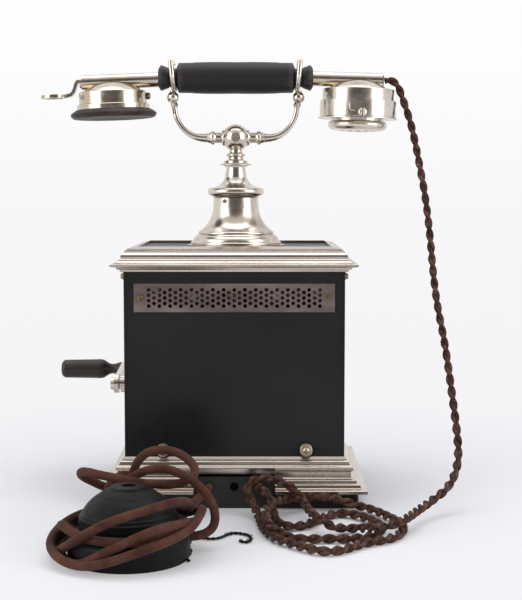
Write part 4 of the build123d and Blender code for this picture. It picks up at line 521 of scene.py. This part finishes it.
def braid(name, dark, middle, light, repeats, pitch, mottle=55):
    """A braided textile cover: diamond cells of thread along the cord's own length, two for each
    of the repeats round it and two for each pitch along it, painted shade that darkens the gaps
    between the cells, and a mottle of three colours."""
    material, tree, shader = new_material(name)
    source = node(tree, "ShaderNodeUVMap", uv_map="length")
    split = node(tree, "ShaderNodeSeparateXYZ")
    tree.links.new(source.outputs["UV"], split.inputs["Vector"])
    around = math_node(tree, "MULTIPLY", split.outputs["X"], 2 * math.pi * repeats)
    along = math_node(tree, "MULTIPLY", split.outputs["Y"], 2 * math.pi / pitch)
    first = math_node(tree, "SINE", math_node(tree, "ADD", around, along))
    second = math_node(tree, "SINE", math_node(tree, "SUBTRACT", around, along))
    cells = math_node(tree, "MULTIPLY", first, second)
    vector = coordinates(tree)
    cloud = noise(tree, vector, mottle, detail=6, roughness=0.6)
    fuzz = noise(tree, vector, 1500, detail=4, roughness=0.7)
    colour = ramp(tree, cloud, [(0.34, dark), (0.5, middle), (0.72, light)])
    # painted shade: where the cells dip between threads, the colour is pulled halfway to the dark
    # tone
    thread = between(tree, math_node(tree, "ADD", cells, fuzz), 0.0, 0.6, -0.4, 1.4)
    colour = mix(tree, thread, mix(tree, 0.5, colour, dark), colour)
    colour = mix(tree, between(tree, fuzz, 0.0, 0.45, 0.5, 0.8), colour, light)
    tree.links.new(colour, shader.inputs["Base Color"])
    tree.links.new(between(tree, fuzz, 0.75, 0.93), shader.inputs["Roughness"])
    socket(shader, "Specular IOR Level", 0.15)
    socket(shader, "Sheen Weight", 0.04)
    socket(shader, "Sheen Roughness", 0.5)
    height = math_node(tree, "ADD", math_node(tree, "MULTIPLY", cells, 0.5), fuzz)
    bump(tree, shader, height, strength=0.55, distance=THREAD_DEPTH)
    return material


# ---------------------------------------------------------------- the finishes

nickel = plated("nickel", NICKEL, TARNISH, rough=(0.17, 0.28))
# the handset's tubes get the painted brassy shade on faces that look down
tube_nickel = plated("nickel_on_brass_painted_shade_below", (0.60, 0.54, 0.47), (0.42, 0.36, 0.28),
                     rough=(0.14, 0.26), under=0.75)
aged_nickel = plated("aged_nickel", (0.50, 0.43, 0.33), (0.24, 0.18, 0.12),
                     rough=(0.28, 0.45), scale=240)
# the cornice and base moulding: level streaks that are partly painted reflection bands, and no
# painted shade in the hollows
moulded_nickel = plated("drawn_nickel_painted_reflection", (0.60, 0.53, 0.47), (0.38, 0.32, 0.27),
                        rough=(0.20, 0.32), scale=90, hollow_shade_depth=0.0, drawing_and_reflection_streaks=0.06)

enamel = surface(
    "black_enamel", [(0.3, (0.0045, 0.0045, 0.005)), (0.7, (0.010, 0.0095, 0.011))],
    scale=14, rough=(0.26, 0.36), specular=0.3, grain=1100, strength=0.08)
black_wood = surface(
    "black_wood", [(0.3, (0.006, 0.005, 0.005)), (0.7, (0.020, 0.016, 0.014))],
    scale=30, rough=(0.32, 0.5), specular=0.25, stretch=(0.12, 1, 1), grain=420, strength=0.25)
ebonite = surface(
    "ebonite", [(0.3, (0.011, 0.0095, 0.0095)), (0.7, (0.021, 0.018, 0.018))],
    scale=45, rough=(0.42, 0.56), specular=0.3, stretch=(0.2, 1, 1), grain=1300, strength=0.12,
    edge=(0.07, 0.06, 0.055))
worn_ebonite = surface(
    "worn_ebonite",
    [(0.28, (0.014, 0.010, 0.009)), (0.5, (0.034, 0.024, 0.022)), (0.75, (0.085, 0.062, 0.056))],
    scale=60, rough=(0.36, 0.6), specular=0.2, grain=900, strength=0.2, edge=(0.17, 0.14, 0.12))
stained_wood = surface(
    "stained_wood", [(0.3, (0.014, 0.010, 0.009)), (0.7, (0.040, 0.028, 0.024))],
    scale=40, rough=(0.36, 0.55), specular=0.4, stretch=(0.12, 1, 1), grain=600, strength=0.25,
    edge=(0.10, 0.07, 0.05))
grille_metal = surface(
    "grille_metal",
    [(0.25, (0.12, 0.085, 0.078)), (0.5, (0.21, 0.16, 0.15)), (0.8, (0.36, 0.30, 0.28))],
    scale=70, rough=(0.34, 0.5), metal=0.9, stretch=(0.3, 1, 1), grain=700, strength=0.15)
dark_steel = surface(
    "dark_steel", [(0.35, (0.05, 0.038, 0.03)), (0.62, (0.34, 0.25, 0.15))],
    scale=400, rough=(0.35, 0.55), metal=0.9, grain=1500, strength=0.2)
steel = surface(
    "steel", [(0.3, (0.34, 0.33, 0.32)), (0.7, (0.52, 0.51, 0.50))],
    scale=90, rough=(0.25, 0.42), metal=1.0, stretch=(1, 1, 5), grain=700, strength=0.12)
brass = surface(
    "brass", [(0.3, (0.40, 0.28, 0.11)), (0.7, (0.66, 0.50, 0.24))],
    scale=70, rough=(0.26, 0.42), metal=1.0, grain=600, strength=0.1)
iron = surface(
    "iron", [(0.3, (0.03, 0.03, 0.032)), (0.7, (0.08, 0.075, 0.07))],
    scale=120, rough=(0.5, 0.7), metal=0.4, grain=500, strength=0.35)
copper = surface(
    "copper_wire", [(0.3, (0.20, 0.06, 0.03)), (0.7, (0.42, 0.16, 0.08))],
    scale=90, rough=(0.3, 0.45), metal=0.8, stretch=(14, 1, 1), grain=120, strength=0.6)
moulding = surface(
    "dusty_moulding",
    [(0.28, (0.003, 0.0028, 0.0026)), (0.5, (0.0085, 0.0078, 0.0074)),
     (0.78, (0.030, 0.028, 0.027))],
    scale=34, rough=(0.42, 0.7), specular=0.14, grain=500, strength=0.3)
plate_enamel = surface(
    "worn_black_enamel", [(0.3, (0.010, 0.009, 0.008)), (0.7, (0.020, 0.018, 0.016))],
    scale=60, rough=(0.34, 0.5), specular=0.4, grain=900, strength=0.15)
gong_metal = surface(
    "tarnished_gong", [(0.3, (0.045, 0.038, 0.032)), (0.7, (0.12, 0.10, 0.085))],
    scale=60, rough=(0.3, 0.5), metal=0.9, grain=500, strength=0.15)

brown_textile = braid("brown_textile", (0.016, 0.009, 0.006), (0.094, 0.037, 0.026),
                      (0.24, 0.15, 0.105), repeats=3, pitch=0.0050, mottle=240)
red_textile = braid("red_brown_textile", (0.036, 0.013, 0.009), (0.090, 0.034, 0.021),
                    (0.145, 0.064, 0.042), repeats=6, pitch=0.0034)
black_textile = braid("black_textile", (0.006, 0.005, 0.005), (0.014, 0.012, 0.012),
                      (0.05, 0.045, 0.045), repeats=3, pitch=0.0016)

# by material slot, then the nodes that differ from the rest of their slot
finishes = {
    "nickel": nickel, "black_enamel": enamel, "black_wood": black_wood, "ebonite": ebonite,
    "worn_ebonite": worn_ebonite, "stained_wood": stained_wood, "grille": grille_metal,
    "dark_screws": dark_steel, "steel": steel, "brass_parts": brass, "iron": iron,
    "copper_winding": copper, "dusty_moulding": moulding, "brown_textile": brown_textile,
    "red_brown_textile": red_textile,
}
special = {
    "handset_tubes": tube_nickel, "hanging_hook": tube_nickel, "receiver_case": tube_nickel,
    "base_moulding": moulded_nickel, "cornice": moulded_nickel,
    "thumb_screw_left": aged_nickel, "thumb_screw_right": aged_nickel, "hub_screw": aged_nickel,
    "gongs": gong_metal, "cord_plate": plate_enamel,
}


def dress(obj, material):
    if not obj.material_slots:
        obj.data.materials.append(material)
    for held in obj.material_slots:
        held.material = material


for part in frame["record"]["subparts"]:
    name = part["node"]
    dress(nodes[name], special.get(name, finishes[part["material_slot"]]))


# ---------------------------------------------------------------- the handset's twisted cord

def strand_path(start):
    """How a strand that starts at this angle winds round the cord's middle."""
    def shift(s):
        looseness = min(1.0, max(0.0, (s - STRAIGHT_LENGTH) / LOOSENING_LENGTH))
        return start - 2 * math.pi * s / TWIST_PITCH, STRAND_REACH + STRAND_REACH_GAIN * looseness
    return shift


hand_line = smooth_points("hand_line", hand_route)
hand_cord = mesh_object("hand_cord", [
    tube(hand_line, steady(STRAND_RADIUS), strand_path(start), corners=12, flat=STRAND_FLATNESS)
    for start in (0.0, math.pi)])
dress(hand_cord, brown_textile)
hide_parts("hand_cord_lead", "hand_cord_run", "hand_cord_heap", "hand_cord_end")
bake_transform(hand_cord)


# ---------------------------------------------------------------- the line cord round the rosette

line_line = smooth_points("line_line", line_route)
line_cord = mesh_object("line_cord", [tube(line_line, steady(LINE_CORD_RADIUS), corners=16)])
dress(line_cord, red_textile)
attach(line_cord, "base")
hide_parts("line_cord_run", "line_cord_winding", "line_cord_loops")


# ---------------------------------------------------------------- the transmitter's stud and slot

def half_head(half, across=7, along=9):
    """One half of a domed screw head beside its slot, on the side that half (1 or -1) says: a
    grid of points on the dome, the same grid on its flat back, and a wall round the rim."""
    turn = math.radians(STUD_TURN)
    verts = []
    for level in (1, 0):
        for i in range(across):
            u = half * (STUD_SLOT / 2
                        + (STUD_RADIUS * STUD_EDGE - STUD_SLOT / 2) * i / (across - 1))
            reach = math.sqrt(max(STUD_RADIUS * STUD_RADIUS - u * u, 0))
            for j in range(along):
                v = reach * (2 * j / (along - 1) - 1)
                dome = STUD_DOME * (STUD_CROWN - (u * u + v * v) / STUD_RADIUS ** 2)
                x = u * math.cos(turn) - v * math.sin(turn)
                z = u * math.sin(turn) + v * math.cos(turn)
                verts.append((STUD_PLACE[0] + x, STUD_PLACE[1] - dome * level, STUD_PLACE[2] + z))
    count = across * along
    faces = []
    for i in range(across - 1):
        for j in range(along - 1):
            corner = i * along + j
            square = (corner, corner + 1, corner + along + 1, corner + along)
            faces.append(square if half < 0 else square[::-1])
            under = tuple(k + count for k in square)
            faces.append(under[::-1] if half < 0 else under)
    rim = list(range(along)) + [i * along + along - 1 for i in range(1, across)]
    rim += [(across - 1) * along + j for j in range(along - 2, -1, -1)]
    rim += [i * along for i in range(across - 2, 0, -1)]
    for here, there in zip(rim, rim[1:] + rim[:1]):
        wall = (here, there, there + count, here + count)
        faces.append(wall[::-1] if half < 0 else wall)
    return verts, faces, [tuple((0, 0) for _ in face) for face in faces]


stud = mesh_object("transmitter_stud", [half_head(1), half_head(-1)])
for face in stud.data.polygons:
    face.use_smooth = abs(face.normal.y) > 0.5
dress(stud, nickel)
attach(stud, "handset")

# the slot beside the stud is a thin raised line that catches the light
slot_line = smooth_points("slot_line", [
    (0.0809, -0.0267, 0.2798), (0.0807, -0.0267, 0.2781), (0.0807, -0.0267, 0.2765),
    (0.0812, -0.0268, 0.2749), (0.0825, -0.0271, 0.2745), (0.0843, -0.0274, 0.2743),
])
slot_groove = mesh_object(
    "transmitter_slot", [tube(slot_line, steady(SLOT_LINE_RADIUS), corners=8)])
dress(slot_groove, nickel)
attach(slot_groove, "handset")


# ---------------------------------------------------------------- the wires beside the rosette

pick = random.Random(7)


def either_way():
    """A random number from -1 to 1."""
    return pick.uniform(-1, 1)


def wisps(line, first, last, count):
    """Short loose threads that stand off a wire between two places along it, 0 to 1."""
    made = []
    for _ in range(count):
        root = line[int((first + (last - first) * pick.random()) * (len(line) - 1))]
        lean = Vector((either_way(), either_way(), pick.uniform(0, 0.7))).normalized()
        bend = Vector((either_way(), either_way(), 0)) * WISP_BEND
        points = [root, root + lean * WISP_KNEE + bend * WISP_KNEE_BEND,
                  root + lean * WISP_TIP + bend]
        made.append(tube(points, steady(WISP_RADIUS), corners=5))
    return made


def knobbly(s):
    """A wire's radius, which rises and falls along it."""
    return WIRE_RADIUS + WIRE_KNOBS * math.sin(s * WIRE_KNOB_RATE)


# the last value of each says between which places loose threads stand off it, and how many
for name, route, reach, loose in (
        ("long_wire", long_wire_route, 0.066, ((0.44, 0.56, 22), (0.72, 1, 34))),
        ("short_wire", short_wire_route, 0.045, ((0.15, 1, 40),))):
    line = smooth_points(name + "_line", route)
    parts = [tube(line, knobbly)]
    for first, last, count in loose:
        parts += wisps(line, first, last, count)
    wire = mesh_object(name, parts)
    dress(wire, black_textile)
    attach(wire, "base")


# ---------------------------------------------------------------- floor, background and light

def mix_shader(tree, factor, first, second):
    made = node(tree, "ShaderNodeMixShader")
    tree.links.new(factor, made.inputs["Fac"])
    tree.links.new(first, made.inputs[1])
    tree.links.new(second, made.inputs[2])
    return made.outputs["Shader"]


def mirror_ray(tree, path):
    """1 for a ray that a reflection or a clear surface sends out."""
    return math_node(tree, "MAXIMUM", path.outputs["Is Glossy Ray"],
                     path.outputs["Is Transmission Ray"])


def make_floor():
    """A plain pale floor that takes shadows near the part and fades into the background."""
    mesh = bpy.data.meshes.new("floor")
    mesh.from_pydata([(-FLOOR_REACH, -FLOOR_REACH, 0), (FLOOR_REACH, -FLOOR_REACH, 0),
                      (FLOOR_REACH, FLOOR_REACH, 0), (-FLOOR_REACH, FLOOR_REACH, 0)],
                     [], [(0, 1, 2, 3)])
    floor = bpy.data.objects.new("floor", mesh)
    bpy.context.scene.collection.objects.link(floor)
    material, tree, shader = new_material("floor")
    socket(shader, "Roughness", 0.7)
    socket(shader, "Specular IOR Level", 0.2)
    vector = coordinates(tree)
    tint = ramp(tree, noise(tree, vector, 3, 4),
                [(0.3, (0.86, 0.86, 0.88)), (0.7, (0.89, 0.89, 0.905))])
    tree.links.new(tint, shader.inputs["Base Color"])
    distance = node(tree, "ShaderNodeVectorMath", operation="LENGTH")
    tree.links.new(vector, distance.inputs[0])
    far = between(tree, distance.outputs["Value"], 0, 1, *FLOOR_SHADED)
    path = node(tree, "ShaderNodeLightPath")
    seen = math_node(tree, "MAXIMUM", path.outputs["Is Camera Ray"], mirror_ray(tree, path))
    glow = node(tree, "ShaderNodeEmission")
    fade = between(tree, distance.outputs["Value"], 0, 1, *GLOW_FADE)
    tree.links.new(ramp(tree, fade, [(0.0, (0.91, 0.905, 0.92)), (1.0, (0.93, 0.925, 0.94))]),
                   glow.inputs["Color"])
    whole = mix_shader(tree, math_node(tree, "MULTIPLY", far, seen),
                       shader.outputs["BSDF"], glow.outputs["Emission"])
    tree.links.new(whole, tree.nodes["Material Output"].inputs["Surface"])
    mesh.materials.append(material)
    return floor


def background(tree, colour, strength=1.0):
    """A background shader of one colour, or of the colour that a ramp gives."""
    made = node(tree, "ShaderNodeBackground")
    if isinstance(colour, tuple):
        made.inputs["Color"].default_value = (*colour, 1)
    else:
        tree.links.new(colour, made.inputs["Color"])
    made.inputs["Strength"].default_value = strength
    return made.outputs["Background"]


def make_world():
    """Near white behind the part for the camera; for reflections, a room that is dark on the
    camera's side and bright elsewhere; and an even light for everything else."""
    world = bpy.data.worlds.new("studio")
    bpy.context.scene.world = world
    world.use_nodes = True
    tree = world.node_tree
    tree.nodes.clear()
    source = node(tree, "ShaderNodeTexCoord")
    split = node(tree, "ShaderNodeSeparateXYZ")
    tree.links.new(source.outputs["Generated"], split.inputs["Vector"])
    path = node(tree, "ShaderNodeLightPath")
    room = background(tree, ramp(
        tree, between(tree, split.outputs["Y"], 0, 1, *DARK_SIDE),
        [(0.0, (0.12, 0.11, 0.105)), (0.3, (0.18, 0.165, 0.155)),
         (0.75, (0.80, 0.80, 0.80)), (1.0, (0.93, 0.93, 0.94))]))
    behind = background(tree, ramp(
        tree, between(tree, split.outputs["Z"], 0, 1, *HORIZON),
        [(0.0, (0.93, 0.925, 0.94)), (1.0, (0.985, 0.985, 0.985))]))
    ambient = background(tree, (0.93, 0.94, 1), 0.55)
    unseen = mix_shader(tree, mirror_ray(tree, path), ambient, room)
    whole = mix_shader(tree, path.outputs["Is Camera Ray"], unseen, behind)
    output = node(tree, "ShaderNodeOutputWorld")
    tree.links.new(whole, output.inputs["Surface"])


def lamp(name, place, target, width, height, power, colour=(1, 1, 1)):
    """A rectangular lamp that looks at its target, with its power in watts."""
    data = bpy.data.lights.new(name, "AREA")
    data.shape = "RECTANGLE"
    data.size = width
    data.size_y = height
    data.energy = power
    data.color = colour
    obj = bpy.data.objects.new(name, data)
    obj.location = place
    obj.rotation_euler = (Vector(target) - Vector(place)).to_track_quat("-Z", "Y").to_euler()
    bpy.context.scene.collection.objects.link(obj)


floor = make_floor()
make_world()
lamp("soft_left", (-1.15, -0.75, 0.55), (0, 0, 0.17),
     width=0.9, height=1.1, power=7.5, colour=WARM)
lamp("soft_right", (1.2, -0.7, 0.55), (0, 0, 0.17),
     width=0.9, height=1.1, power=7.5, colour=WARM)
lamp("soft_top", (0, 0.1, 1.4), (0, 0, 0.1), width=1.4, height=1.0, power=8.0)
